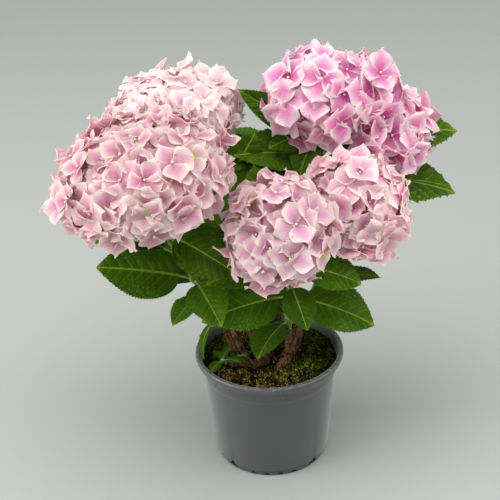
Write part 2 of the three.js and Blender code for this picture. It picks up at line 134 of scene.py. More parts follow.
# One row per shoot: foot, share that is woody, heads or tip, and leaves. A leaf has: how far up
# the stem, compass direction, length with its stalk, rise, roll, and share of the usual width.
SHOOTS = {
    "left_front": dict(
        foot=(-46, -16), woody=0.2,
        heads=[head((-136, -80, 435), 109, 71, 13, 215, 20.8, 22.8, "candy")],
        leaves=[
            (0.24, 212, 60, -66, 0, 0.4), (0.4, -134, 58, -18, 0), (0.36, 74, 84, 14, 0),
            (0.5, -165, 120, 18, -48), (0.5, -66, 82, -16, 14), (0.66, 168, 104, 10, 0),
            (0.66, 60, 96, 12, 0), (0.8, -33, 104, -16, 34), (0.8, 140, 122, 4, 0),
            (0.84, 84, 92, 2, 0),
        ],
    ),
    "left_back": dict(
        foot=(-22, 18), woody=0.2,
        heads=[head((-106, 103, 438), 92, 63, 10, 130, 21, 22.6, "blush")],
        leaves=[
            (0.02, -100, 27, 60, 0), (0.05, 200, 25, 48, 0), (0.36, 176, 104, 10, 0),
            (0.36, 88, 96, 16, 0), (0.52, 120, 118, 14, 0),
            (0.58, 2, 130, 60, 78), (0.7, 196, 112, 2, 0), (0.84, 70, 124, 0, 0),
            (0.84, 172, 120, 2, 0), (0.86, -8, 112, 4, 20),
        ],
    ),
    "right_back": dict(
        foot=(8, 12), woody=0.18,
        heads=[
            head((74, 70, 464), 78, 68, 22, -115, 26, 28, "rose", -0.85),
            head((126, 74, 459), 64, 56, 26, -75, 26, 28, "rose", -0.1),
            head((162, 75, 412), 70, 60, 42, -35, 26, 28, "rose", -0.6),
        ],
        leaves=[
            (0.03, -60, 26, 62, 0), (0.46, 52, 116, 16, 0), (0.46, 165, 92, 20, 0),
            (0.64, 214, 116, 18, -30),
            (0.64, 20, 128, 2, 0), (0.64, -5, 176, 0, 14), (0.76, 192, 116, 10, -24),
            (0.76, 7, 176, 9, 16), (0.86, 182, 128, 34, -78, 0.5), (0.86, 84, 122, 2, 0),
            (0.92, 204, 80, -6, -30), (0.93, -120, 84, -22, 10),
        ],
    ),
    "centre_front": dict(
        foot=(24, -22), woody=0.2,
        heads=[head((13, -118, 377), 71, 67, 42, -108, 21.2, 23.2, "lilac", -0.62)],
        leaves=[
            (0.27, -126, 72, -16, 14, 1.25), (0.26, 112, 70, 8, 0), (0.46, 207, 116, 2, -34),
            (0.46, -16, 108, -14, 30), (0.66, 192, 100, 2, -12), (0.74, -10, 88, -14, 30),
            (0.74, 140, 90, 6, 0), (0.58, -72, 66, -32, 12),
        ],
    ),
    "right_front": dict(
        foot=(36, -6), woody=0.2,
        # Its florets take the shell tone, a lilac made lighter as painted light on this head.
        heads=[head((106, -32, 364), 74, 61, 34, -58, 21.2, 23.2, "shell")],
        leaves=[
            (0.34, 8, 92, -26, 10), (0.34, 196, 60, 10, 0), (0.56, 62, 112, 6, 0),
            (0.8, 24, 100, -6, 0), (0.8, 200, 70, 0, 0),
        ],
    ),
    "basal": dict(
        foot=(-31, -31), woody=0, tip=(-60, -44, 163),
        leaves=[
            (0.5, 205, 20, 4, 0), (0.5, -40, 19, 4, 0), (0.98, -130, 25, -14, 0),
            (0.98, 30, 21, 52, 0), (0.98, -26, 26, 10, 0), (0.98, 130, 18, 22, 0),
        ],
    ),
    "back": dict(
        foot=(-6, 28), woody=0.3, tip=(4, 128, 350),
        leaves=[
            (0.45, 50, 104, 10, 0), (0.55, 150, 84, 14, 0), (0.7, 84, 122, 6, 0),
            (0.8, -40, 84, 20, 0), (0.97, 30, 110, 16, 0), (0.97, 120, 112, 10, 0),
        ],
    ),
    "back_right": dict(
        foot=(34, 10), woody=0.3, tip=(122, 96, 268),
        leaves=[
            (0.5, 86, 96, 6, 0), (0.5, 0, 72, 2, 0), (0.8, 46, 112, 4, 0),
            (0.98, 100, 106, 6, 0), (0.98, 18, 80, 4, 0),
        ],
    ),
    "back_left": dict(
        foot=(-40, 6), woody=0.3, tip=(-124, 92, 276),
        leaves=[
            (0.5, 100, 94, 8, 0), (0.5, 172, 72, 6, 0), (0.8, 136, 112, 6, 0),
            (0.98, 84, 104, 8, 0), (0.98, 166, 84, 4, 0),
        ],
    ),
}
MASS_NODES = {
    name: f"bloom_shoot_{name}" if "heads" in shoot else f"leafy_shoot_{name}"
    for name, shoot in SHOOTS.items()
}
BOUGH_NODES = [f"bough_{name}" for name, shoot in SHOOTS.items() if shoot["woody"]]


# ---- geometry helpers --------------------------------------------------------------------
def unit(vector):
    return vector / np.linalg.norm(vector, axis=-1, keepdims=True)


def compass(degrees):
    angle = math.radians(degrees)
    return np.array([math.cos(angle), math.sin(angle), 0.0])


def circle(sides):
    """Angles of points spaced evenly round a circle."""
    return np.linspace(0, 2 * math.pi, sides, endpoint=False)


def smoothstep(low, high, value):
    share = np.clip((value - low) / (high - low), 0, 1)
    return share * share * (3 - 2 * share)


def turned(vector, axis, degrees):
    """The vector turned about an axis."""
    angle = math.radians(degrees)
    level = math.cos(angle) * vector + math.sin(angle) * np.cross(axis, vector)
    return level + (1 - math.cos(angle)) * np.dot(axis, vector) * axis


def bezier(*knots):
    """A curve through its first and last knot, as a function of the share along it."""
    knots = [np.array(knot, float) for knot in knots]

    def at(share):
        points = [np.broadcast_to(knot, np.shape(share) + (3,)) for knot in knots]
        part = np.asarray(share)[..., None]
        while len(points) > 1:
            points = [a + (b - a) * part for a, b in zip(points, points[1:])]
        return points[0]

    return at


def closed_sheet_faces(rows, columns):
    """Four corners of each face of a thin closed sheet: upper side, lower side, rim."""
    grid = np.arange(rows * columns).reshape(rows, columns)
    upper = np.stack([grid[:-1, :-1], grid[:-1, 1:], grid[1:, 1:], grid[1:, :-1]], -1).reshape(-1, 4)
    lower = upper[:, ::-1] + rows * columns
    edge = np.concatenate([grid[0, :-1], grid[:-1, -1], grid[-1, :0:-1], grid[:0:-1, 0]])
    following = np.roll(edge, -1)
    below = rows * columns
    rim = np.stack([following, edge, edge + below, following + below], -1)
    return upper, lower, rim


def ring_faces(rings, sides):
    """Side faces and end faces of a closed skin. Its points are those of the rings, then one in
    the middle of the first ring and one in the middle of the last."""
    around = np.arange(sides)
    following = (around + 1) % sides
    starts = np.arange(rings - 1)[:, None] * sides
    quads = np.stack(
        [starts + around, starts + following, starts + sides + following, starts + sides + around], -1
    )
    first, top = rings * sides, (rings - 1) * sides
    ends = np.concatenate([
        np.stack([following, around, np.full(sides, first)], -1),
        np.stack([top + around, top + following, np.full(sides, first + 1)], -1),
    ])
    return quads.reshape(-1, 4), ends


def smoothed(mesh, sharp_degrees):
    mesh.shade_smooth()
    mesh.set_sharp_from_angle(angle=math.radians(sharp_degrees))
    return mesh


def placed(name, content):
    """Puts a mesh, a light or a camera into the scene as an object."""
    item = bpy.data.objects.new(name, content)
    bpy.context.scene.collection.objects.link(item)
    return item


def applied(item, name):
    """The mesh that an object's modifiers make. The object goes."""
    evaluated = item.evaluated_get(bpy.context.evaluated_depsgraph_get())
    mesh = bpy.data.meshes.new_from_object(evaluated)
    mesh.name = name
    bpy.data.objects.remove(item)
    return mesh


class Batch:
    """Meshes of one kind, gathered to be joined into one piece."""

    def __init__(self):
        self.points, self.faces, self.corners = [], [], []
        self.count = 0

    def add(self, points, *groups, corners=None):
        """Adds points and groups of faces, each group of one size. corners gives the face corners
        of a single group their places on the spray map."""
        for faces in groups:
            self.faces.append(np.asarray(faces) + self.count)
            self.corners.append(np.zeros(faces.shape + (2,)) if corners is None else corners)
        self.points.append(points.reshape(-1, 3))
        self.count += len(self.points[-1])

    def triangles(self):
        return sum(len(faces) * (faces.shape[1] - 2) for faces in self.faces)

    def mesh(self, name, sharp_degrees=50):
        mesh = bpy.data.meshes.new(name)
        points = np.concatenate(self.points) * MM
        sizes = np.concatenate([np.full(len(faces), faces.shape[1]) for faces in self.faces])
        flat = np.concatenate([faces.ravel() for faces in self.faces])
        mesh.vertices.add(len(points))
        mesh.vertices.foreach_set("co", points.ravel())
        mesh.loops.add(len(flat))
        mesh.loops.foreach_set("vertex_index", flat)
        mesh.polygons.add(len(sizes))
        mesh.polygons.foreach_set("loop_start", np.concatenate([[0], np.cumsum(sizes)[:-1]]))
        mesh.update(calc_edges=True)
        if any(corners.any() for corners in self.corners):
            layer = mesh.uv_layers.new(name="OFBake")
            corners = np.concatenate([corners.reshape(-1, 2) for corners in self.corners])
            layer.uv.foreach_set("vector", corners.ravel())
        return smoothed(mesh, sharp_degrees)


def finish_piece(name, mesh, material, nodes):
    """Puts a mesh into the scene as a finished piece that stands for these nodes."""
    piece = placed(name, mesh)
    mesh.materials.clear()
    mesh.materials.append(material)
    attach(piece, "root")
    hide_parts(*nodes)
    return piece


def tube(batch, path, radii, sides):
    """A closed tapering tube along points. radii has one row per point, and may vary round it."""
    path = np.asarray(path, float)
    radii = np.asarray(radii, float)
    if radii.ndim == 1:
        radii = radii[:, None]
    tangents = unit(np.gradient(path, axis=0))
    side = np.cross(tangents[0], [0.31, 0.83, 0.46])
    rings = []
    angles = circle(sides)[:, None]
    for point, tangent, radius in zip(path, tangents, radii):
        side = unit(side - np.dot(side, tangent) * tangent)
        other = np.cross(tangent, side)
        rings.append(point + radius[:, None] * (side * np.cos(angles) + other * np.sin(angles)))
    points = np.concatenate([*rings, path[:1], path[-1:]])
    batch.add(points, *ring_faces(len(path), sides))


def add_sheets(batch, middle, thickness, cells):
    """Adds closed thin sheets from their middle surfaces, an array of sheet, row, column, xyz.
    cells holds each sheet's cell for its upper side; its lower side is on the map's last row."""
    _, rows, columns, _ = middle.shape
    along = np.gradient(middle, axis=1)
    across = np.gradient(middle, axis=2)
    normals = unit(np.cross(across, along))
    half = np.broadcast_to(thickness, middle.shape[:3])[..., None] / 2
    points = np.stack([middle + normals * half, middle - normals * half], 1)
    shares = np.stack(np.meshgrid(np.linspace(0, 1, columns), np.linspace(0, 1, rows)), -1)
    add_closed(batch, points, shares, cells)


def add_closed(batch, points, shares, cells):
    """Adds sheets whose upper and lower points are given, with each point's place in its cell."""
    sheets, _, rows, columns, _ = points.shape
    upper, lower, rim = closed_sheet_faces(rows, columns)
    below = rows * columns
    inside = (CELL_EDGE + (1 - 2 * CELL_EDGE) * shares).reshape(-1, 2)
    cells = np.asarray(cells, float)
    under = np.stack([cells[:, 0], np.full(sheets, CELLS - 1.0)], -1)
    top_map = (cells[:, None] + inside[None]) / CELLS
    under_map = (under[:, None] + inside[None]) / CELLS
    starts = (np.arange(sheets) * 2 * below)[:, None, None]
    faces = np.concatenate([starts + upper, starts + lower, starts + rim], 1)
    corners = np.concatenate(
        [top_map[:, upper], under_map[:, lower - below], top_map[:, rim % below]], 1
    )
    batch.add(points, faces.reshape(-1, 4), corners=corners.reshape(-1, 4, 2))


# ---- growth rule -------------------------------------------------------------------------
def head_axis(head):
    tilt = math.radians(head["lean"])
    return compass(head["toward"]) * math.sin(tilt) + UP * math.cos(tilt)


def head_seat(head):
    """Where a head's stalk enters it."""
    return head["at"] - 0.5 * head["deep"] * head_axis(head)


def stem_curve(start, end, arrival):
    """A stem sets off mostly upwards and arrives along the axis of its head."""
    reach = np.linalg.norm(end - start)
    leaving = unit(np.array([*(0.6 * (end - start)[:2] / reach), 1.0]))
    return bezier(start, start + 0.3 * reach * leaving, end - 0.27 * reach * arrival, end)


def shoot_curve(shoot):
    start = np.array([*shoot["foot"], SHOOT_START], float)
    if "heads" in shoot:
        main = shoot["heads"][0]
        return stem_curve(start, head_seat(main), head_axis(main))
    end = np.array(shoot["tip"], float)
    return stem_curve(start, end, unit(np.array([*(end - start)[:2], 160.0])))


CURVES = {name: shoot_curve(shoot) for name, shoot in SHOOTS.items()}


def head_places(head, depth, spacing, spread, random):
    """Places over a head in a golden-angle spiral: middles, outward directions and how far each
    one is pushed out, from the head's crown to a little way under its edge."""
    wide, deep = head["wide"] - depth, head["deep"] - depth
    # The area of a cap of such an ellipsoid, near enough.
    area = 2 * math.pi * wide * (0.55 * wide + 0.45 * deep) * (1 - head["end"])
    count = round(area / spacing**2)
    level = 1 - (np.arange(count) + 0.5) / count * (1 - head["end"])
    ring = np.sqrt(1 - level**2)
    angle = np.arange(count) * GOLDEN_ANGLE + 0.35 * random.random(count)
    sphere = np.stack([ring * np.cos(angle), ring * np.sin(angle), level], -1)
    outward = unit(sphere / [wide, wide, deep])
    push = random.uniform(-1, 1, count)
    places = sphere * [wide, wide, deep] + outward * (spread * push)[:, None]
    axis = head_axis(head)
    side = unit(np.cross([0.0, 1.0, 0.0], axis))
    basis = np.stack([side, np.cross(axis, side), axis])
    return places @ basis + head["at"], outward @ basis, push


# ---- materials ---------------------------------------------------------------------------
def colour(code):
    """Linear light for an sRGB hex value."""
    parts = [int(code[k:k + 2], 16) / 255 for k in (1, 3, 5)]
    return [c / 12.92 if c <= 0.04045 else ((c + 0.055) / 1.055) ** 2.4 for c in parts] + [1.0]


def add(tree, kind, links=None, **settings):
    """Adds a node, whose kind may leave out ShaderNode. settings are its properties. links gives
    its inputs, by name or number, a value, a hex colour, a socket or a node, which stands for
    that node's first output in use."""
    node = tree.nodes.new(kind if "Node" in kind else f"ShaderNode{kind}")
    for key, value in settings.items():
        setattr(node, key, value)
    for key, value in (links or {}).items():
        if isinstance(key, str):
            socket = next(s for s in node.inputs if s.enabled and s.name == key)
        else:
            socket = node.inputs[key]
        if isinstance(value, bpy.types.Node):
            value = next(s for s in value.outputs if s.enabled)
        if isinstance(value, bpy.types.NodeSocket):
            tree.links.new(value, socket)
        elif isinstance(value, str) and value.startswith("#"):
            socket.default_value = colour(value)
        else:
            socket.default_value = value
    return node


def new_material(name):
    material = bpy.data.materials.new(name)
    material.use_nodes = True
    material.node_tree.nodes.clear()
    return material, material.node_tree


def layered(tree, shade, *layers):
    """A base colour with others laid over it, each by its own share."""
    for share, over in layers:
        shade = add(tree, "Mix", {"Factor": share, "A": shade, "B": over}, data_type="RGBA")
    return shade


def spray_cells(tree):
    """Reads a piece's spray map: the place in a blade's cell, the share along the blade, how far
    off its midrib with a sign for the side and without, the cell's own random value, 1 in the
    last of the upper side's cells, and 1 on the underside."""
    spray = add(tree, "UVMap", uv_map="OFBake")
    grown = add(tree, "VectorMath", {0: spray, "Scale": CELLS}, operation="SCALE")
    cell = add(tree, "VectorMath", {0: grown}, operation="FLOOR")
    inside = add(tree, "VectorMath", {0: grown}, operation="FRACTION")
    shares = add(tree, "MapRange", {
        "Vector": inside, 7: [CELL_EDGE] * 3, 8: [1 - CELL_EDGE] * 3, 9: [0.0] * 3, 10: [1.0] * 3,
    }, data_type="FLOAT_VECTOR", clamp=False).outputs[1]
    place = add(tree, "SeparateXYZ", {0: shares})
    off = add(tree, "Math", {0: place.outputs[0], 1: 2.0, 2: -1.0}, operation="MULTIPLY_ADD")
    aside = add(tree, "Math", {0: off}, operation="ABSOLUTE")
    tint = add(tree, "TexWhiteNoise", {"Vector": cell}, noise_dimensions="2D")
    apart = add(tree, "VectorMath", {0: cell, 1: [CELLS - 1, CELLS - 2, 0]}, operation="DISTANCE")
    last = add(tree, "Math", {0: apart.outputs[1], 1: 0.5}, operation="LESS_THAN")
    rank = add(tree, "SeparateXYZ", {0: cell})
    under = add(tree, "Math", {0: rank.outputs[1], 1: CELLS - 1.5}, operation="GREATER_THAN")
    return dict(shares=shares, along=place.outputs[1], off=off, aside=aside,
                tint=tint.outputs[0], last=last, under=under)


def close_thin_blade(tree, passing, skin):
    """A thin blade's surface: its skin, mixed with the share of light that passes through it."""
    blade = add(tree, "BsdfPrincipled", skin)
    through = add(tree, "BsdfTranslucent", {"Color": skin["Base Color"], "Normal": skin["Normal"]})
    both = add(tree, "MixShader", {0: passing, 1: blade, 2: through})
    add(tree, "OutputMaterial", {"Surface": both})


# Sepal colours for each tone: by the bead, over the blade, at the margin, on the underside and,
# on the last florets to open, at the claw. Then how close to the margin the pink reaches.
# The underside colours are the sepals' own pale backs, made pinker and lighter as painted glow
# of the light that passes through the sepals into the shade of the head.
TONES = {
    "candy": ("#c9619a", "#e4a2c6", "#f3ece1", "#fbdde4", "#b7bf56", 0.16),
    "blush": ("#e0a4c6", "#f9e0ea", "#fefbf2", "#ffe9ef", "#c3c768", 0.08),
    "rose": ("#dc57ac", "#fab4de", "#fefbf7", "#fdd6e8", "#f0c6cf", 0.34),
    "lilac": ("#d277b0", "#ebb6d8", "#f6f0e6", "#fcdee8", "#bcc25e", 0.12),
    # shell is the lilac tone a little pinker and made lighter, as painted light on the right front head.
    "shell": ("#de82b8", "#f9c4e0", "#fffbf2", "#ffe3ec", "#c3c768", 0.14),
}


def sepal_material(tone):
    """Sepals of a mophead: thin, soft petal-like leaves. Pink fades to a cream margin, fine
    veins fan out from the claw, and light from behind shows through."""
    throat, body, margin, back, late_claw, pink_reach = TONES[tone]
    material, tree = new_material(f"hydrangea_sepal_{tone}")
    spray = spray_cells(tree)
    grain = add(tree, "TexNoise", {"Vector": spray["shares"], "Scale": 5.0, "Detail": 3.0})
    aside_soft = add(tree, "Math", {0: spray["aside"], 1: 2.0}, operation="POWER")
    along_soft = add(tree, "Math", {0: spray["along"], 1: 3.5}, operation="POWER")
    outer = add(tree, "Math", {0: aside_soft, 1: along_soft}, operation="ADD")
    ragged = add(tree, "Math", {0: grain, 1: 0.5, 2: outer}, operation="MULTIPLY_ADD")
    # How far the cream reaches in from the margin differs a little from spray to spray.
    reach = add(tree, "Math", {0: spray["tint"], 1: -0.3, 2: pink_reach}, operation="MULTIPLY_ADD")
    rim = add(tree, "MapRange", {
        "Value": ragged, "From Min": reach, "From Max": 1.1,
    }, interpolation_type="SMOOTHSTEP")
    near = add(tree, "MapRange", {
        "Value": spray["along"], "From Min": 0.05, "From Max": 0.7, "To Min": 1.0, "To Max": 0.0,
    })
    fan = add(tree, "Math", {0: spray["off"], 1: 26.0}, operation="MULTIPLY")
    wander = add(tree, "Math", {0: grain, 1: 6.0, 2: fan}, operation="MULTIPLY_ADD")
    ripple = add(tree, "Math", {0: wander}, operation="SINE")
    veins = add(tree, "MapRange", {
        "Value": ripple, "From Min": 0.55, "From Max": 1.0, "To Min": 0.0, "To Max": 0.22,
    })
    faded = add(tree, "Math", {0: rim, 1: 0.85}, operation="MULTIPLY")
    # The very hem of the blade is paler still, in a ragged line.
    frayed = add(tree, "Math", {0: grain, 1: 0.3, 2: spray["aside"]}, operation="MULTIPLY_ADD")
    hem_side = add(tree, "MapRange", {
        "Value": frayed, "From Min": 0.9, "From Max": 1.08, "To Min": 0.0, "To Max": 1.0,
    })
    hem_tip = add(tree, "MapRange", {
        "Value": spray["along"], "From Min": 0.86, "From Max": 0.98, "To Min": 0.0, "To Max": 0.95,
    })
    hem = add(tree, "Math", {0: hem_side, 1: hem_tip}, operation="MAXIMUM")
    # The last cell's florets opened last, and still have another colour at their claws.
    claw = add(tree, "Math", {0: near, 1: 2.6}, operation="POWER")
    late_share = add(tree, "Math", {0: spray["last"], 1: claw}, operation="MULTIPLY")
    # The underside's colour: the sepal's own pale back, made pinker and lighter as painted glow of light
    # passing through into the shade.
    under = add(tree, "Math", {0: spray["under"], 1: 0.85}, operation="MULTIPLY")
    sided = layered(tree, body, (near, throat), (veins, throat), (faded, margin), (hem, margin),
                    (late_share, late_claw), (under, back))
    # Sprays also differ in lightness, a few hundredths either way.
    light = add(tree, "Math", {0: spray["tint"], 1: 0.14, 2: 0.93}, operation="MULTIPLY_ADD")
    shade = add(tree, "HueSaturation", {"Value": light, "Color": sided})
    relief = add(tree, "Bump", {"Height": ripple, "Strength": 0.25, "Distance": 0.0004})
    # More light comes out on the underside, so it glows with the light behind it.
    passing = add(tree, "Math", {0: spray["under"], 1: 0.32, 2: 0.48}, operation="MULTIPLY_ADD")
    close_thin_blade(tree, passing, {
        "Base Color": shade, "Roughness": 0.65, "IOR": 1.35, "Specular IOR Level": 0.3,
        "Sheen Weight": 0.2, "Sheen Roughness": 0.5, "Normal": relief,
    })
    return material


def leaf_material():
    """A grown hydrangea leaf: firm and waxy. Yellow-green veins in a dark quilted blade, a fine
    net between them, and a paler dull underside."""
    material, tree = new_material("hydrangea_leaf_blade")
    spray = spray_cells(tree)
    # The side veins, by the same rule as the blade's quilting.
    squared = add(tree, "Math", {0: spray["aside"], 1: spray["aside"]}, operation="MULTIPLY")
    forward = add(tree, "Math", {0: spray["aside"], 1: VEIN_RISE[0]}, operation="MULTIPLY")
    forward = add(tree, "Math", {0: squared, 1: VEIN_RISE[1], 2: forward}, operation="MULTIPLY_ADD")
    behind = add(tree, "Math", {0: spray["along"], 1: forward}, operation="SUBTRACT")
    phase = add(tree, "Math", {0: behind, 1: float(LEAF_VEINS), 2: VEIN_START}, operation="MULTIPLY_ADD")
    nearest = add(tree, "Math", {0: phase, 1: 1.0}, operation="PINGPONG")
    from_vein = add(tree, "Math", {0: nearest, 1: 0.5}, operation="PINGPONG")
    vein = add(tree, "MapRange", {
        "Value": from_vein, "From Min": 0.03, "From Max": 0.085, "To Min": 1.0, "To Max": 0.0,
    }, interpolation_type="SMOOTHSTEP")
    fading = add(tree, "MapRange", {
        "Value": spray["aside"], "From Min": 0.2, "From Max": 1.0, "To Min": 0.34, "To Max": 0.05,
    })
    side_vein = add(tree, "Math", {0: vein, 1: fading}, operation="MULTIPLY")
    rib_width = add(tree, "Math", {0: spray["along"], 1: -0.028, 2: 0.045}, operation="MULTIPLY_ADD")
    rib = add(tree, "Math", {0: spray["aside"], 1: rib_width}, operation="LESS_THAN")
    ribs = add(tree, "Math", {0: side_vein, 1: rib}, operation="MAXIMUM")
    cloud = add(tree, "TexNoise", {"Vector": spray["shares"], "Scale": 4.0, "Detail": 4.0})
    bent = add(tree, "VectorMath", {
        0: cloud.outputs["Color"], 1: [0.09] * 3, 2: spray["shares"],
    }, operation="MULTIPLY_ADD")
    net = add(tree, "TexVoronoi", {"Vector": bent, "Scale": 40.0},
              feature="DISTANCE_TO_EDGE", voronoi_dimensions="2D")
    mesh = add(tree, "MapRange", {
        "Value": net, "From Min": 0.02, "From Max": 0.12, "To Min": 0.22, "To Max": 0.0,
    })
    margin = add(tree, "MapRange", {
        "Value": spray["along"], "From Min": 0.9, "From Max": 1.0, "To Min": 0.0, "To Max": 0.5,
    })
    under = add(tree, "Math", {0: spray["under"], 1: 0.85}, operation="MULTIPLY")
    # The last cell's leaves have brown weather spots.
    spots = add(tree, "TexVoronoi", {"Vector": spray["shares"], "Scale": 5.0}, voronoi_dimensions="2D")
    spot = add(tree, "MapRange", {
        "Value": spots, "From Min": 0.1, "From Max": 0.17, "To Min": 0.85, "To Max": 0.0,
    })
    brown_share = add(tree, "Math", {0: spot, 1: spray["last"]}, operation="MULTIPLY")
    green = layered(tree, "#193800", (cloud, "#4b7400"), (mesh, "#5c8508"), (ribs, "#859c26"),
                    (margin, "#75912f"), (under, "#6f8c4f"), (brown_share, "#6b4a25"))
    light = add(tree, "Math", {0: spray["tint"], 1: 0.5, 2: 0.75}, operation="MULTIPLY_ADD")
    shade = add(tree, "HueSaturation", {"Value": light, "Color": green})
    sunk = add(tree, "Math", {0: mesh, 1: -1.0}, operation="MULTIPLY")
    relief = add(tree, "Bump", {"Height": sunk, "Strength": 0.8, "Distance": 0.0018})
    close_thin_blade(tree, 0.15, {
        "Base Color": shade, "Roughness": 0.38, "IOR": 1.4, "Specular IOR Level": 0.18,
        "Normal": relief,
    })
    return material


def plain_growth_material(name, low, high, grain_mm, roughness, weight=0.1):
    """Soft living tissue of one kind: half matt, with a little light under its skin, and two close
    colours that mix in patches of a real width."""
    material, tree = new_material(name)
    place = add(tree, "TexCoord").outputs["Object"]
    grain = add(tree, "TexNoise", {"Vector": place, "Scale": 1 / (grain_mm * MM), "Detail": 3.0})
    ramp = add(tree, "MapRange", {"Value": grain, "From Min": 0.35, "From Max": 0.65})
    shade = layered(tree, low, (ramp, high))
    relief = add(tree, "Bump", {"Height": grain, "Strength": 0.3, "Distance": 0.0004})
    flesh = add(tree, "BsdfPrincipled", {
        "Base Color": shade, "Roughness": roughness, "IOR": 1.4, "Normal": relief,
        "Subsurface Weight": weight, "Subsurface Scale": 0.002,
    })
    add(tree, "OutputMaterial", {"Surface": flesh})
    return material


def bark_material():
    """Old hydrangea bark: thin, papery and flaking. Tan-grey skin lies over darker red-brown wood,
    split into streaks that run up the stem."""
    material, tree = new_material("flaking_bark")
    place = add(tree, "TexCoord").outputs["Object"]
    # Streaks are about 2 mm wide and five times as long.
    drawn = add(tree, "Mapping", {"Vector": place, "Scale": [1, 1, 0.2]})
    streaks = add(tree, "TexNoise", {
        "Vector": drawn, "Scale": 1 / (2.2 * MM), "Detail": 6.0, "Roughness": 0.65,
    })
    patches = add(tree, "TexNoise", {"Vector": place, "Scale": 1 / (9 * MM), "Detail": 4.0})
    mixed = add(tree, "Math", {0: patches, 1: 0.7, 2: streaks}, operation="MULTIPLY_ADD")
    peel = add(tree, "MapRange", {"Value": mixed, "From Min": 0.76, "From Max": 0.92})
    fine = add(tree, "TexNoise", {"Vector": place, "Scale": 1 / (2.6 * MM), "Detail": 4.0})
    dust = add(tree, "MapRange", {
        "Value": fine, "From Min": 0.55, "From Max": 0.68, "To Min": 0.0, "To Max": 0.6,
    })
    shade = layered(tree, "#160c06", (peel, "#614329"), (dust, "#94794f"))
    relief = add(tree, "Bump", {"Height": streaks, "Strength": 0.8, "Distance": 0.0012})
    wood = add(tree, "BsdfPrincipled", {
        "Base Color": shade, "Roughness": 0.85, "Specular IOR Level": 0.2, "Normal": relief,
    })
    add(tree, "OutputMaterial", {"Surface": wood})
    return material


def pot_material():
    """Grey moulded polypropylene: matt, with a fine even texture from the mould. Handling has
    scuffed the rim lighter, and compost dust clings to the rim and the foot."""
    material, tree = new_material("moulded_polypropylene")
    place = add(tree, "TexCoord").outputs["Object"]
    height = add(tree, "SeparateXYZ", {0: place})
    cloud = add(tree, "TexNoise", {"Vector": place, "Scale": 1 / (45 * MM), "Detail": 3.0})
    rim_zone = add(tree, "MapRange", {
        "Value": height.outputs[2], "From Min": (POT_HEIGHT - 5) * MM, "From Max": (POT_HEIGHT - 1) * MM,
    })
    scratches = add(tree, "TexNoise", {
        "Vector": place, "Scale": 1 / (5 * MM), "Detail": 5.0, "Roughness": 0.7,
    })
    scuff = add(tree, "MapRange", {
        "Value": scratches, "From Min": 0.5, "From Max": 0.72, "To Min": 0.05, "To Max": 0.65,
    })
    scuffed = add(tree, "Math", {0: rim_zone, 1: scuff}, operation="MULTIPLY")
    # Specks of compost, 1 to 2 mm across, thin out down the wall and gather at the foot.
    specks = add(tree, "TexVoronoi", {"Vector": place, "Scale": 1 / (7 * MM), "Randomness": 1.0})
    ends = add(tree, "MapRange", {
        "Value": height.outputs[2], "From Min": (POT_HEIGHT - 16) * MM, "From Max": POT_HEIGHT * MM,
        "To Min": 0.02, "To Max": 0.2,
    })
    foot = add(tree, "MapRange", {
        "Value": height.outputs[2], "From Min": 0.0, "From Max": 2 * FOOT_HEIGHT * MM,
        "To Min": 0.17, "To Max": 0.0,
    })
    grit_size = add(tree, "Math", {0: ends, 1: foot}, operation="MAXIMUM")
    grit_size = add(tree, "Math", {0: grit_size, 1: scratches}, operation="MULTIPLY")
    grit = add(tree, "Math", {0: specks, 1: grit_size}, operation="LESS_THAN")
    dirty = layered(tree, "#3c3c3d", (cloud, "#454546"), (scuffed, "#9b9c98"), (grit, "#3a2d1e"))
    texture = add(tree, "TexNoise", {"Vector": place, "Scale": 1 / (0.9 * MM), "Detail": 2.0})
    relief = add(tree, "Bump", {"Height": texture, "Strength": 0.12, "Distance": 0.0004})
    plastic = add(tree, "BsdfPrincipled", {
        "Base Color": dirty, "Roughness": 0.42, "IOR": 1.55, "Normal": relief,
        # Fine dust on the wall catches the light where the wall turns away.
        "Sheen Weight": 0.5, "Sheen Roughness": 0.36,
    })
    add(tree, "OutputMaterial", {"Surface": plastic})
    return material


def compost_material(name, dark, light, grain_mm):
    """Peat crumbs, bark or cushion moss: dull and rough, mostly dark, in patches of one tone."""
    material, tree = new_material(name)
    place = add(tree, "TexCoord").outputs["Object"]
    crumbs = add(tree, "TexVoronoi", {"Vector": place, "Scale": 1 / (grain_mm * MM)})
    hue = add(tree, "SeparateColor", {0: crumbs.outputs["Color"]})
    mostly_dark = add(tree, "Math", {0: hue.outputs[0], 1: 2.2}, operation="POWER")
    shade = layered(tree, dark, (mostly_dark, light))
    grain = add(tree, "TexNoise", {"Vector": place, "Scale": 1 / (1.1 * MM), "Detail": 5.0})
    relief = add(tree, "Bump", {"Height": grain, "Strength": 0.8, "Distance": 0.001})
    earth = add(tree, "BsdfPrincipled", {
        "Base Color": shade, "Roughness": 0.9, "Specular IOR Level": 0.1, "Normal": relief,
    })
    add(tree, "OutputMaterial", {"Surface": earth})
    return material


# ---- pot ---------------------------------------------------------------------------------
def rounded(profile, radii):
    """A profile with its corners turned to short arcs, each corner with its own radius."""
    points = [np.array(point, float) for point in profile]
    path = [points[0]]
    for before, corner, after, radius in zip(points, points[1:], points[2:], radii[1:]):
        back, ahead = before - corner, after - corner
        cut = min(radius, 0.45 * np.linalg.norm(back), 0.45 * np.linalg.norm(ahead))
        start, end = corner + unit(back) * cut, corner + unit(ahead) * cut
        path += [start, (start + 2 * corner + end) / 4, end]
    return np.array(path + [points[-1]])


def lathe(batch, profile, sides):
    """A closed turned solid from a profile that starts and ends on the axis."""
    angles = circle(sides)
    inner = profile[1:-1]
    rings = np.stack([
        inner[:, :1] * np.cos(angles), inner[:, :1] * np.sin(angles),
        np.broadcast_to(inner[:, 1:], (len(inner), sides)),
    ], -1)
    points = np.concatenate([rings.reshape(-1, 3), [[0, 0, profile[0, 1]], [0, 0, profile[-1, 1]]]])
    batch.add(points, *ring_faces(len(inner), sides))


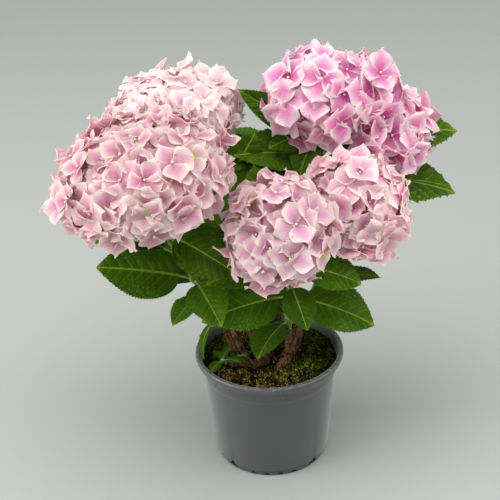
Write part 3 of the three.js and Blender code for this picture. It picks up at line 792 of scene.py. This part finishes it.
def drain_cutters():
    """Prisms that cut the drain notches through the corner between floor and wall: in each
    quarter one high triangle and four small arches."""
    batch = Batch()
    triangle = [(-7.5, 2.6), (7.5, 2.6), (0.8, 13.5), (-0.8, 13.5)]
    half_width, sill, rise = 3.6, 1.6, 3.2
    arch = [(half_width * math.cos(a), sill + rise * math.sin(a)) for a in np.linspace(0, math.pi, 9)]
    start, depth = FOOT_RADIUS - 6, 14
    notches = []
    for middle in (-90, 0, 90, 180):
        notches.append((middle + 45, triangle))
        notches += [(middle + k * 180 / 13, arch) for k in (-1.5, -0.5, 0.5, 1.5)]
    for turn, outline in notches:
        ahead = compass(turn)
        flat = np.array(outline)
        inner = ahead * start + flat[:, :1] * compass(turn + 90) + flat[:, 1:] * UP
        count = len(flat)
        around = np.arange(count)
        following = (around + 1) % count
        sides = np.stack([around, following, following + count, around + count], -1)
        ends = np.stack([np.full(count - 2, 0), around[2:], around[1:-1]], -1)
        batch.add(np.concatenate([inner, inner + ahead * depth]), sides, ends, ends[:, ::-1] + count)
    return batch.mesh("drain_cutters")


def make_pot():
    """The moulded pot as one turned wall, from the middle of its foot out, up and back in. Each
    row gives the radius, the height and how far the corner there is rounded."""
    profile = [
        (0, 0, 0), (FOOT_RADIUS + 1.8, 0, 0.8), (FOOT_RADIUS + 2.9, FOOT_HEIGHT - 1.2, 0.2),
        (FOOT_RADIUS + 0.6, FOOT_HEIGHT - 0.8, 0.2), (FOOT_RADIUS + 0.6, FOOT_HEIGHT + 0.1, 0.2),
        (FOOT_RADIUS + 5, FOOT_HEIGHT + 0.6, 0.5), (WALL_TOP_RADIUS, BAND_BOTTOM, 0.3),
        (WALL_TOP_RADIUS + 1.5, BAND_BOTTOM + 0.6, 0.5), (BAND_LOW_RADIUS, BAND_LOW, 3),
        (BAND_TOP_RADIUS, BAND_TOP, 1.2), (RIM_RADIUS - 0.8, BAND_TOP + 1, 1.2),
        (RIM_RADIUS, POT_HEIGHT - 3.5, 1.4), (RIM_RADIUS - 1.2, POT_HEIGHT - 0.6, 1.4),
        (RIM_RADIUS - 3.5, POT_HEIGHT, 2), (RIM_RADIUS - 6, POT_HEIGHT - 1, 4),
        (BAND_TOP_RADIUS - WALL, BAND_TOP, 3), (BAND_LOW_RADIUS - WALL, BAND_LOW, 1.5),
        (WALL_TOP_RADIUS - WALL, BAND_BOTTOM - 1, 1), (FOOT_RADIUS + 4.4 - WALL, FOOT_HEIGHT + 6, 2),
        (FOOT_RADIUS - 1.4, FOOT_HEIGHT + 2, 2), (FOOT_RADIUS - 4, FLOOR_TOP, 0), (0, FLOOR_TOP, 0),
    ]
    batch = Batch()
    corners = [corner for *_, corner in profile]
    lathe(batch, rounded([place for *place, _ in profile], corners), POT_SIDES)
    shell = placed("pot_shell", batch.mesh("pot_shell"))
    cutter = placed("drain_cutters", drain_cutters())
    cut = shell.modifiers.new("drains", "BOOLEAN")
    cut.operation = "DIFFERENCE"
    cut.object = cutter
    cut.solver = "MANIFOLD"
    mesh = smoothed(applied(shell, "grown_on_pot"), 32)
    bpy.data.objects.remove(cutter)
    finish_piece("grown_on_pot", mesh, pot_material(), ["pot"])


# ---- soil --------------------------------------------------------------------------------
def soil_height(x, y):
    """Height of the soil: level under the crown, with mounds and crumbs further out."""
    free = smoothstep(CROWN_RADIUS + 4, CROWN_RADIUS + 24, math.hypot(x - CROWN[0], y - CROWN[1]))
    raised = sum(
        height * math.exp(-((x - mx) ** 2 + (y - my) ** 2) / radius**2)
        for mx, my, radius, height in MOUNDS
    )
    lumps = LUMP_HEIGHT * noise.fractal(Vector((x, y, 0)) / LUMP_WIDTH, 0.8, 2.1, 4)
    grit = GRIT_HEIGHT * noise.fractal(Vector((x, y, 40)) / GRIT_WIDTH, 0.9, 2.0, 3)
    return SOIL_TOP + free * raised + (0.35 + 0.65 * free) * lumps + grit - 0.6


def make_soil():
    """The root ball's surface in fine relief, closed under it as one body."""
    angles = circle(SOIL_SIDES)
    bottom = FLOOR_TOP + 0.4
    points = [
        (r * math.cos(a), r * math.sin(a), soil_height(r * math.cos(a), r * math.sin(a)))
        for r in np.linspace(0, SOIL_RADIUS, SOIL_RINGS + 1)[1:] for a in angles
    ]
    surface = len(points)
    walls = [(SOIL_RADIUS - 1.6, BAND_LOW), (WALL_TOP_RADIUS - 0.8 - WALL, BAND_BOTTOM - 2),
             (FOOT_RADIUS + 3, FOOT_HEIGHT + 14), (FOOT_RADIUS - 9, bottom)]
    points += [(r * math.cos(a), r * math.sin(a), z) for r, z in walls for a in angles]
    middle = len(points)
    points = np.array(points + [(0, 0, soil_height(0, 0)), (0, 0, bottom)])
    quads, ends = ring_faces(SOIL_RINGS + len(walls), SOIL_SIDES)
    batch = Batch()
    # The rings run down from the middle of the surface, so their faces are turned over.
    batch.add(points, np.roll(quads[:, ::-1], 1, axis=1), ends[:, ::-1])
    mesh = batch.mesh("compost", 70)
    for label, rule in (("crumb_cover", crumb_cover), ("moss_cover", moss_cover),
                        ("green_cover", green_cover)):
        cover = [
            rule(x, y) if k < surface or k == middle else 0.0 for k, (x, y, _) in enumerate(points)
        ]
        mesh.attributes.new(label, "FLOAT", "POINT").data.foreach_set("value", cover)
    look = compost_material("peat_compost", "#060402", "#150f07", 3.5)
    return finish_piece("compost", mesh, look, ["soil"])


def crumb_cover(x, y):
    """Share of the full number of crumbs at a place on the soil."""
    return float(0.35 + 0.65 * smoothstep(-0.2, 0.35, noise.noise(Vector((x, y, 7)) / 17)))


def grown_cover(x, y, mounds, seed):
    """Moss in small cushions, thickest on the mounds."""
    grown = max(
        math.exp(-((x - mx) ** 2 + (y - my) ** 2) / (1.3 * radius) ** 2)
        for mx, my, radius, _ in mounds
    )
    patchy = smoothstep(-0.02, 0.16, noise.noise(Vector((x, y, seed)) / 5))
    return float(grown * patchy)


def moss_cover(x, y):
    """Dry yellow moss at the front."""
    return grown_cover(x, y, (MOUNDS[0], MOUNDS[2]), 23)


def green_cover(x, y):
    """Greener moss at the right, where it stays damp."""
    return grown_cover(x, y, (MOUNDS[1], MOUNDS[3], MOUNDS[4]), 31)


def scatter_tree(shape):
    """Geometry nodes that strew small grains of one shape over a surface, each sized, turned and
    flattened at random, and join them into one mesh."""
    tree = bpy.data.node_groups.new(f"strew_{shape}", "GeometryNodeTree")
    face = tree.interface
    face.new_socket("Surface", in_out="INPUT", socket_type="NodeSocketGeometry")
    for label, kind in (("Per square metre", "Float"), ("Seed", "Int"), ("Smallest", "Float"),
                        ("Largest", "Float"), ("Flatness", "Float"), ("Cover", "String"),
                        ("Finish", "Material")):
        face.new_socket(label, in_out="INPUT", socket_type=f"NodeSocket{kind}")
    face.new_socket("Strewn", in_out="OUTPUT", socket_type="NodeSocketGeometry")
    given = add(tree, "NodeGroupInput").outputs
    cover = add(tree, "GeometryNodeInputNamedAttribute", {"Name": given["Cover"]}, data_type="FLOAT")
    density = add(tree, "Math", {0: cover.outputs[0], 1: given["Per square metre"]}, operation="MULTIPLY")
    spots = add(tree, "GeometryNodeDistributePointsOnFaces", {
        "Mesh": given["Surface"], "Density": density, "Seed": given["Seed"],
    })
    shapes = {
        "lump": ("GeometryNodeMeshIcoSphere", {"Radius": 1.0, "Subdivisions": 1}),
        "spike": ("GeometryNodeMeshCone", {
            "Vertices": 4, "Radius Top": 0.05, "Radius Bottom": 0.5, "Depth": 2.6,
        }),
        "chip": ("GeometryNodeMeshCube", {
            "Size": [1.6, 1.0, 0.5], "Vertices X": 3, "Vertices Y": 3, "Vertices Z": 2,
        }),
    }
    kind, sizes = shapes[shape]
    grain = add(tree, kind, sizes)
    place = add(tree, "GeometryNodeInputPosition")
    uneven = add(tree, "TexNoise", {"Vector": place, "Scale": 1.1})
    shifted = add(tree, "VectorMath", {0: uneven.outputs[1], 1: [0.5] * 3}, operation="SUBTRACT")
    rough = add(tree, "GeometryNodeSetPosition", {"Geometry": grain.outputs[0], "Offset": shifted})
    sized = add(tree, "FunctionNodeRandomValue", {
        "Min": given["Smallest"], "Max": given["Largest"], "Seed": given["Seed"],
    }, data_type="FLOAT")
    stretch = add(tree, "FunctionNodeRandomValue", {
        "Min": [0.6, 0.5, 0.4], "Max": [1.5, 1.0, 1.0], "Seed": 3,
    }, data_type="FLOAT_VECTOR")
    flatten = add(tree, "CombineXYZ", {0: 1.0, 1: 1.0, 2: given["Flatness"]})
    shaped = add(tree, "VectorMath", {0: stretch.outputs[0], 1: flatten}, operation="MULTIPLY")
    scale = add(tree, "VectorMath", {0: shaped, "Scale": sized.outputs[1]}, operation="SCALE")
    lean = 0.6 if shape == "spike" else 0.9
    spin = add(tree, "FunctionNodeRandomValue", {
        "Min": [-lean, -lean, 0.0], "Max": [lean, lean, 2 * math.pi], "Seed": 5,
    }, data_type="FLOAT_VECTOR")
    spun = add(tree, "FunctionNodeRotateRotation", {
        0: spots.outputs["Rotation"], 1: spin.outputs[0],
    }, rotation_space="LOCAL")
    strewn = add(tree, "GeometryNodeInstanceOnPoints", {
        "Points": spots.outputs["Points"], "Instance": rough, "Rotation": spun, "Scale": scale,
    })
    joined = add(tree, "GeometryNodeRealizeInstances", {"Geometry": strewn})
    finished = add(tree, "GeometryNodeSetMaterial", {"Geometry": joined, "Material": given["Finish"]})
    add(tree, "NodeGroupOutput", {"Strewn": finished})
    return tree


def strew(surface, name, shape, sharp_degrees, values):
    """Strews grains over the soil and makes them one piece of their own."""
    holder = placed(f"{name}_holder", surface.data)
    tree = scatter_tree(shape)
    modifier = holder.modifiers.new("strew", "NODES")
    modifier.node_group = tree
    identifiers = {
        item.name: item.identifier for item in tree.interface.items_tree
        if item.item_type == "SOCKET" and item.in_out == "INPUT"
    }
    for label, value in values.items():
        modifier[identifiers[label]] = value
    mesh = smoothed(applied(holder, name), sharp_degrees)
    finish_piece(name, mesh, values["Finish"], ["soil"])


# One row per kind of grain on the soil: shape, angle past which its edges stay sharp, number a
# square metre, seed, smallest and largest half size, flatness, where it lies, and its finish.
GRAINS = {
    "compost_crumbs": ("lump", 30, 230000.0, 3, 0.6, 2.5, 0.8, "crumb_cover",
                       ("peat_crumbs", "#080502", "#5a4225", 2.4)),
    "bark_chips": ("chip", 30, 9000.0, 8, 1.6, 4.6, 0.5, "crumb_cover",
                   ("pine_bark_chips", "#3d2713", "#94693a", 9)),
    "moss_tufts": ("spike", 70, 800000.0, 5, 0.9, 2.1, 1.0, "moss_cover",
                   ("dry_cushion_moss", "#141802", "#d8c35a", 1.8)),
    "green_moss": ("spike", 70, 800000.0, 6, 0.9, 2.1, 1.0, "green_cover",
                   ("damp_cushion_moss", "#0c1502", "#6f9a1c", 1.8)),
}


def dress_soil(compost):
    for name, row in GRAINS.items():
        shape, sharp_degrees, density, seed, smallest, largest, flatness, cover, finish = row
        strew(compost, name, shape, sharp_degrees, {
            "Per square metre": density, "Seed": seed, "Smallest": smallest * MM,
            "Largest": largest * MM, "Flatness": flatness, "Cover": cover,
            "Finish": compost_material(*finish),
        })


# ---- woody crown -------------------------------------------------------------------------
def barky_limb(batch, path, radii, seed):
    """A limb whose skin is split into long shallow ridges, with a few knots."""
    steps = max(8, int(np.linalg.norm(np.diff(path, axis=0), axis=1).sum() / 1.6))
    shares = np.linspace(0, 1, steps)
    given = np.linspace(0, 1, len(path))
    points = np.stack([np.interp(shares, given, path[:, k]) for k in range(3)], -1)
    mean = np.interp(shares, np.linspace(0, 1, len(radii)), radii)
    rows = []
    for row, radius in enumerate(mean):
        ring = []
        for angle in circle(LIMB_SIDES):
            around = Vector((math.cos(angle), math.sin(angle), 0)) * 2.6
            ridge = noise.fractal(around + Vector((seed, 0, row * 0.05)), 0.7, 2.2, 3)
            knot = max(0.0, noise.noise(Vector((around.x / 3, around.y / 3, row * 0.12 + seed))) - 0.25)
            ring.append(radius * (1 + RIDGE_DEPTH * ridge + KNOT_DEPTH * knot))
        rows.append(ring)
    tube(batch, points, np.array(rows), LIMB_SIDES)


def vertex_values(mesh, label):
    values = np.zeros(len(mesh.vertices) * 3, np.float32)
    mesh.vertices.foreach_get(label, values)
    return values.reshape(-1, 3)


def make_wood():
    """The knotty crown, its arms and the woody foot of each stem, as one body of barky wood."""
    batch = Batch()
    foot = np.array([*CROWN, SOIL_TOP - 3.0])
    top = np.array([CROWN[0] + 1.5, CROWN[1] + 0.5, SOIL_TOP + 0.5 * CROWN_RISE])
    barky_limb(batch, np.stack([foot, (foot + top) / 2, top]), [CROWN_RADIUS - 4, 7, 3], 1.0)
    arms = np.linspace(0, 1, 9)
    for seed, (name, shoot) in enumerate(SHOOTS.items()):
        curve = CURVES[name]
        leaving = unit(curve(0.02) - curve(0.0))
        end = curve(0.0)
        root = np.array([*(0.45 * np.array(CROWN) + 0.55 * end[:2]), SOIL_TOP - 4.0])
        arm = bezier(root, end - 12 * leaving, end + leaving)
        barky_limb(batch, arm(arms), ARM_RADII if shoot["woody"] else SPROUT_ARM_RADII, seed + 2.0)
        if shoot["woody"]:
            barky_limb(batch, curve(arms * shoot["woody"]), BOUGH_RADIUS, seed + 20.0)
    barky_limb(batch, bezier(*OLD_STEM)(arms), OLD_STEM_RADII, 40.0)
    barky_limb(batch, bezier(*STUMP)(arms), STUMP_RADII, 47.0)
    rough = placed("rough_wood", batch.mesh("rough_wood"))
    fused = rough.modifiers.new("fuse", "REMESH")
    fused.mode = "VOXEL"
    fused.voxel_size = 1.25 * MM
    mesh = applied(rough, "woody_crown")
    places, normals = (vertex_values(mesh, label) for label in ("co", "normal"))
    split = [noise.fractal(Vector((x, y, z * 0.12)) / (1.7 * MM), 0.8, 2.0, 2) for x, y, z in places]
    places += normals * (np.array(split)[:, None] * 0.55 * MM)
    mesh.vertices.foreach_set("co", places.ravel())
    mesh.update()
    mesh.shade_smooth()
    finish_piece("woody_crown", mesh, bark_material(), ["root_crown", *BOUGH_NODES])


# ---- leaves ------------------------------------------------------------------------------
def blade_outline(share):
    """Half width of a blade along it, 1 at its widest: a round root and a drawn-out tip."""
    greatest = 0.539
    return share**0.48 * (1 - share**1.9) ** 0.95 / greatest


def grow_leaf(blades, ribs, curve, row, random, cell):
    """One leaf with its stalk: an arched quilted blade with toothed margins."""
    along, turn, span, rise, roll, slim = (*row, 1)[:6]
    base = curve(np.float64(along))
    tilt = math.radians(rise)
    chord = compass(turn) * math.cos(tilt) + UP * math.sin(tilt)
    across = turned(unit(np.cross(chord, UP)), chord, roll)
    face = np.cross(across, chord)
    arch = LEAF_ARCH * (2.2 if slim < 0.5 else 1)

    def midrib(share):
        share = np.asarray(share)[..., None]
        return base + chord * share * span + face * arch * span * share * (1 - share)

    rows = 2 * LEAF_TEETH + 1
    # q runs along the blade, and t from margin to margin. Every second row ends in a tooth.
    q = np.linspace(0, 1, rows)[:, None]
    t = np.linspace(-1, 1, LEAF_COLUMNS)[None, :]
    tooth = np.where(np.arange(rows) % 2 == 1, 1.0, 0.0)[:, None]
    edge = (np.abs(t) > 0.99) * 1.0
    width = LEAF_WIDTH * (1 - STALK_SHARE) * span * slim
    outline = blade_outline(np.clip(q, 0.002, 0.998))
    aside = t * outline * (1 - TOOTH_DEPTH * edge * (1 - tooth))
    distance = np.abs(aside)
    forward = edge * tooth * TOOTH_LEAN / rows * np.clip(4 * (1 - q), 0, 1)
    share = STALK_SHARE + (1 - STALK_SHARE) * (q + forward)
    phase = LEAF_VEINS * (q - VEIN_RISE[0] * distance - VEIN_RISE[1] * distance**2) + VEIN_START
    quilt = np.abs(np.sin(math.pi * phase)) ** 0.8 * np.clip(3 * distance, 0, 1)
    wave = random.uniform(*LEAF_WAVES)
    swing = random.uniform(0, 2 * math.pi)
    lift = width * (
        0.16 * distance ** random.uniform(1.2, 1.7)
        + 0.05 * distance**2 * np.sin(2 * math.pi * wave * q + swing + 0.9 * np.sign(t))
        - random.uniform(0.02, 0.1) * distance**3
    )
    lift = lift + span * (QUILT_HEIGHT * quilt - TIP_DROOP * random.random() * q**2)
    points = midrib(share) + across * (aside * width)[..., None] + face * lift[..., None]
    normals = unit(np.cross(np.gradient(points, axis=1), np.gradient(points, axis=0)))
    half = LEAF_THICKNESS * min(1, 0.4 + span / 120) * (0.5 - 0.22 * np.abs(t))[..., None]
    sides = np.stack([points + normals * half, points - normals * half])
    shares = np.stack([0.5 + 0.5 * aside, np.broadcast_to(q, aside.shape)], -1)
    add_closed(blades, sides[None], shares, [cell])

    # The stalk runs on as the midrib under the blade and sinks away from it towards the tip.
    stout = min(1, 0.3 + span / 90)
    stations = np.linspace(0, RIB_END, 15)
    radii = stout * np.interp(stations, list(RIB_RADII), list(RIB_RADII.values()))
    drop = 0.018 * span * np.clip((stations - STALK_SHARE) / (1 - STALK_SHARE), 0, 1) ** 3
    tube(ribs, midrib(stations) - face * (0.35 * stout + drop)[:, None], radii, 7)


def grow_leaves(leaf_look, rib_look):
    random = np.random.RandomState(11)
    batches, ribs = [Batch()], Batch()
    for name, shoot in SHOOTS.items():
        for row in shoot["leaves"]:
            if batches[-1].triangles() > PIECE_LIMIT:
                batches.append(Batch())
            cell = (random.randint(CELLS), random.randint(CELLS - 1))
            # Only two shoots have spotted leaves.
            if cell == (CELLS - 1, CELLS - 2) and name not in ("right_front", "left_back"):
                cell = (0, 0)
            grow_leaf(batches[-1], ribs, CURVES[name], row, random, cell)
    nodes = list(MASS_NODES.values())
    for number, batch in enumerate(batches, 1):
        finish_piece(f"leaf_blades_{number}", batch.mesh("leaf_blades", 40), leaf_look, nodes)
    finish_piece("leaf_stalks", ribs.mesh("leaf_stalks"), rib_look, nodes)


# ---- green stems -------------------------------------------------------------------------
def grow_stems(look):
    batch = Batch()
    for name, shoot in SHOOTS.items():
        curve = CURVES[name]
        shares = np.linspace(shoot["woody"], 1, 46)
        path = curve(shares)
        length = np.linalg.norm(np.diff(path, axis=0), axis=1).sum()
        slender = min(1, length / 90)
        radii = np.interp(shares, [shoot["woody"], 1], STEM_RADIUS) * slender
        # Stems swell a little where leaves join, and have six shallow ribs.
        for row in shoot["leaves"]:
            radii = radii + 1.3 * slender * np.exp(-(((shares - row[0]) * length / 4) ** 2))
        ribbed = radii[:, None] * (1 + 0.05 * np.cos(6 * circle(STEM_SIDES)))[None, :]
        tube(batch, path, ribbed, STEM_SIDES)
        for extra in shoot.get("heads", [])[1:]:
            branch = stem_curve(curve(np.float64(FORK_SHARE)), head_seat(extra), head_axis(extra))
            tube(batch, branch(np.linspace(0, 1, 24)), np.linspace(*BRANCH_RADIUS, 24), 12)
    finish_piece("green_stems", batch.mesh("green_stems"), look, list(MASS_NODES.values()))


# ---- flower heads ------------------------------------------------------------------------
def sepal_outline(share, root, tip):
    """Half width of a sepal along it, 1 at its widest: a narrow claw, round sides, a point."""
    widest = root / (root + 3 * tip)
    return share**root * (1 - share**3) ** tip / (widest ** (root / 3) * (1 - widest) ** tip)


def floret_frames(outward, random):
    """The way each floret faces, and the directions along and across each of its four sepals."""
    count = len(outward)
    tilt = np.cross(outward, unit(random.normal(size=(count, 3))))
    facing = unit(outward + tilt * random.uniform(*FACING_TILT, (count, 1)))
    side = unit(np.cross(facing, unit(random.normal(size=(count, 3)))))
    other = np.cross(facing, side)
    spin = math.pi / 2 * np.arange(4)[None] + random.normal(0, 0.09, (count, 4))
    ahead = side[:, None] * np.cos(spin)[..., None] + other[:, None] * np.sin(spin)[..., None]
    return facing, ahead, np.cross(ahead, facing[:, None])


def sepal_surfaces(places, outward, push, size, random, rows, columns, crowding):
    """Middle surfaces of four sepals for each floret, and the way the florets face. Florets low
    in the crowd are cupped, and those pushed out lie open. Values run over floret, sepal, row and
    column. v runs along a sepal from near its root, and t from margin to margin."""
    count = len(places)
    each = (count, 4, 1, 1)
    v = (1 - 0.95 * np.linspace(1, 0, rows) ** 1.15)[None, None, :, None]
    t = np.linspace(-1, 1, columns)[None, None, None, :]
    inner = (np.arange(4) % 2)[None, :, None, None]
    facing, ahead, aside = floret_frames(outward, random)
    floret_size = size * random.uniform(*FLORET_SIZES, (count, 1))
    length = (floret_size * random.uniform(*SEPAL_LENGTHS, (count, 4))).reshape(each)
    broad = length * random.uniform(*SEPAL_BREADTHS, each)
    cup = crowding + CUP_BY_PUSH * push[:, None] + random.normal(0, CUP_SPREAD, (count, 1))
    cup = cup[..., None, None]
    root_rise = cup + ROOT_RISE + INNER_RISES[0] * inner + random.normal(0, ROOT_SPREAD, each)
    tip_spread = TIP_SPREAD * np.clip(random.normal(size=each), -1.5, 1.3)
    root_angle = np.radians(root_rise)
    tip_angle = np.radians(cup + TIP_RISE + INNER_RISES[1] * inner + tip_spread)
    angle = root_angle + (tip_angle - root_angle) * v
    step = length * (v[..., 1, :] - v[..., 0, :])[..., None, :]
    reach = np.cumsum(np.cos(angle) * step, axis=2) + length * 0.05 - step * np.cos(root_angle)
    rise = np.cumsum(np.sin(angle) * step, axis=2) - step * np.sin(root_angle)
    width = broad * sepal_outline(
        np.clip(v, 0.02, 0.99), random.uniform(0.75, 1.0, each), random.uniform(1.2, 1.8, each)
    )
    curl = random.normal(CURL, CURL_SPREAD, each)
    ruffle = random.uniform(*RUFFLES, each)
    swing = random.uniform(0, 2 * math.pi, each)
    waves = random.uniform(*RUFFLE_WAVES, each)
    fold = random.uniform(*FOLDS, each)
    notched = 1 + random.uniform(*NOTCHES, each) * np.sin(
        2 * math.pi * (waves + 0.3) * v + 2.3 * swing + 2.1 * np.sign(t)
    )
    ripple = np.sin(2 * math.pi * waves * v + swing + 1.3 * np.sign(t))
    bend = (
        curl * t**2 * width + fold * np.abs(t) * width
        + ruffle * length * v * np.abs(t) ** 2.5 * ripple
        + 0.05 * inner * length * v
    )
    out = reach + np.cos(angle + math.pi / 2) * bend
    up = rise + np.sin(angle + math.pi / 2) * bend
    surfaces = (
        places[:, None, None, None, :]
        + ahead[:, :, None, None] * out[..., None]
        + aside[:, :, None, None] * (t * width * notched)[..., None]
        + facing[:, None, None, None] * up[..., None]
    )
    return surfaces.reshape(count * 4, rows, columns, 3), facing


def tints(count, random):
    """Each floret's own cell on the spray map, the same for its four sepals."""
    columns = random.randint(0, CELLS, count)
    rows = random.randint(0, CELLS - 1, count)
    late = (columns == CELLS - 1) & (rows == CELLS - 2)
    columns[late & (random.random(count) < 1 - LATE_SHARE)] = 1
    return np.repeat(np.stack([columns, rows], -1), 4, axis=0)


def bead_shape():
    """Points and faces of a round bead with 80 faces."""
    shape = bmesh.new()
    bmesh.ops.create_icosphere(shape, subdivisions=2, radius=1.0)
    points = np.array([vertex.co for vertex in shape.verts])
    faces = np.array([[vertex.index for vertex in face.verts] for face in shape.faces])
    shape.free()
    return points, faces


def grow_beads(batch, places, facing, radii):
    """The closed buds in the middles of florets, a little longer along the way they face."""
    points, faces = bead_shape()
    for place, ahead, radius in zip(places, facing, radii):
        batch.add(place + radius * (points + np.outer(points @ ahead, ahead) * 0.2), faces)


def grow_heads(looks, bead_look, stalk_look):
    beads, stalks = Batch(), Batch()
    for number, (name, shoot) in enumerate(SHOOTS.items()):
        for lobe, head in enumerate(shoot.get("heads", [])):
            random = np.random.RandomState(40 + 7 * number + lobe)
            batch = Batch()
            size = head["floret"]
            sink = FLORET_SINK * size
            # The outer layer of florets, then the one under it: depth, spacing, spread, size,
            # rows, columns and how far the crowd cups them.
            layers = (
                (sink, head["spacing"], 0.36 * size, size, SEPAL_ROWS, SEPAL_COLUMNS, 1),
                (sink + 15, min(26, head["spacing"] * 1.15), 4, min(20, 0.8 * size), 5, 5, 26),
            )
            for depth, spacing, spread, across, rows, columns, crowding in layers:
                places, outward, push = head_places(head, depth, spacing, spread, random)
                sepals, facing = sepal_surfaces(
                    places, outward, push, across, random, rows, columns, crowding
                )
                thickness = 0.45 - 0.25 * np.linspace(0, 1, rows)[None, :, None]
                add_sheets(batch, sepals, thickness, tints(len(places), random))
                if depth == sink:
                    radii = random.uniform(*BEAD_RADII, len(places))
                    grow_beads(beads, places + facing * 1.8, facing, radii)
                grow_flower_stalks(stalks, head, places - facing * 0.3, random)
            label = f"florets_{name}" + ("", "_middle", "_side")[lobe]
            finish_piece(label, batch.mesh(label, 80), looks[head["tone"]], [MASS_NODES[name]])
    nodes = sorted(MASS_NODES[name] for name, shoot in SHOOTS.items() if "heads" in shoot)
    finish_piece("floret_beads", beads.mesh("floret_beads"), bead_look, nodes)
    finish_piece("flower_stalks", stalks.mesh("flower_stalks"), stalk_look, nodes)


def grow_flower_stalks(batch, head, places, random):
    """A few branches fan out from the head's seat, and each floret's stalk leaves the nearest."""
    seat, axis = head_seat(head), head_axis(head)
    forks, _, _ = head_places(head, 0.56 * head["deep"], FORK_SPACING, 2, random)
    for fork in forks:
        branch = bezier(seat, seat + axis * 0.4 * np.linalg.norm(fork - seat), fork)
        tube(batch, branch(np.linspace(0, 1, 7)), np.linspace(2.0, 1.2, 7), 6)
    for place in places:
        fork = forks[np.argmin(np.linalg.norm(forks - place, axis=1))]
        outward = unit(place - seat)
        stalk = bezier(fork, fork + outward * 0.5 * np.linalg.norm(place - fork), place)
        tube(batch, stalk(np.linspace(0, 1, 4)), np.linspace(0.9, 0.7, 4), 5)


# ---- stage -------------------------------------------------------------------------------
def make_stage():
    """A plain pale floor, soft boxes to the left, right and above, and the camera."""
    mesh = bpy.data.meshes.new("floor")
    reach = 12.0
    mesh.from_pydata([(-reach, -reach, 0), (reach, -reach, 0), (reach, reach, 0), (-reach, reach, 0)],
                     [], [(0, 1, 2, 3)])
    # Seamless backdrop paper: quite matt, so it shows only a soft shadow.
    material, tree = new_material("studio_paper")
    paper = add(tree, "BsdfPrincipled", {"Base Color": "#a4a7a3", "Roughness": 0.9})
    add(tree, "OutputMaterial", {"Surface": paper})
    mesh.materials.append(material)
    placed("floor", mesh)

    world = bpy.data.worlds.new("studio")
    bpy.context.scene.world = world
    world.use_nodes = True
    sky = world.node_tree.nodes["Background"].inputs
    sky["Color"].default_value = colour("#e6e9e8")
    sky["Strength"].default_value = 0.7

    middle = Vector((0, 0, 0.28))
    for label, place, size, power in (
        ("key_box", (-2.6, -0.8, 1.2), 2.3, 84),
        ("fill_box", (3.8, -1.2, 1.7), 3.2, 94),
        ("top_box", (0.0, -0.7, 3.3), 2.8, 82),
    ):
        light = bpy.data.lights.new(label, "AREA")
        light.shape = "SQUARE"
        light.size = size
        light.energy = power
        lamp = placed(label, light)
        lamp.location = place
        lamp.rotation_euler = (middle - Vector(place)).to_track_quat("-Z", "Y").to_euler()

    # The camera stands a little left of the middle and looks down on the plant.
    down, roll = math.radians(28.13), math.radians(-2.29)
    back = Vector((0, -math.cos(down), math.sin(down)))
    level_up = Vector((0, math.sin(down), math.cos(down)))
    level_right = Vector((1, 0, 0))
    right = level_right * math.cos(roll) + level_up * math.sin(roll)
    upward = level_up * math.cos(roll) - level_right * math.sin(roll)
    lens = bpy.data.cameras.new("camera")
    lens.sensor_width = 36
    lens.lens = 84.24
    lens.clip_end = 60
    camera = placed("camera", lens)
    turn = Matrix((right, upward, back)).transposed().to_4x4()
    stand = Vector((-19.65, -1268.98, 972.02)) * MM
    camera.matrix_world = Matrix.Translation(stand) @ turn
    bpy.context.scene.camera = camera
    bpy.context.scene.view_settings.view_transform = "Standard"


# ---- assembly ----------------------------------------------------------------------------
make_stage()
make_pot()
dress_soil(make_soil())
make_wood()
stem_look = plain_growth_material("young_green_stem", "#4a6a1c", "#7c9140", 6, 0.5)
rib_look = plain_growth_material("leaf_stalk", "#66852a", "#8ba546", 8, 0.45)
bead_look = plain_growth_material("floret_bead", "#dcb9a8", "#eedccb", 5, 0.45, 0.2)
flower_stalk_look = plain_growth_material("flower_stalk", "#8d9a52", "#b97f9c", 14, 0.55)
grow_stems(stem_look)
grow_leaves(leaf_material(), rib_look)
grow_heads({tone: sepal_material(tone) for tone in TONES}, bead_look, flower_stalk_look)
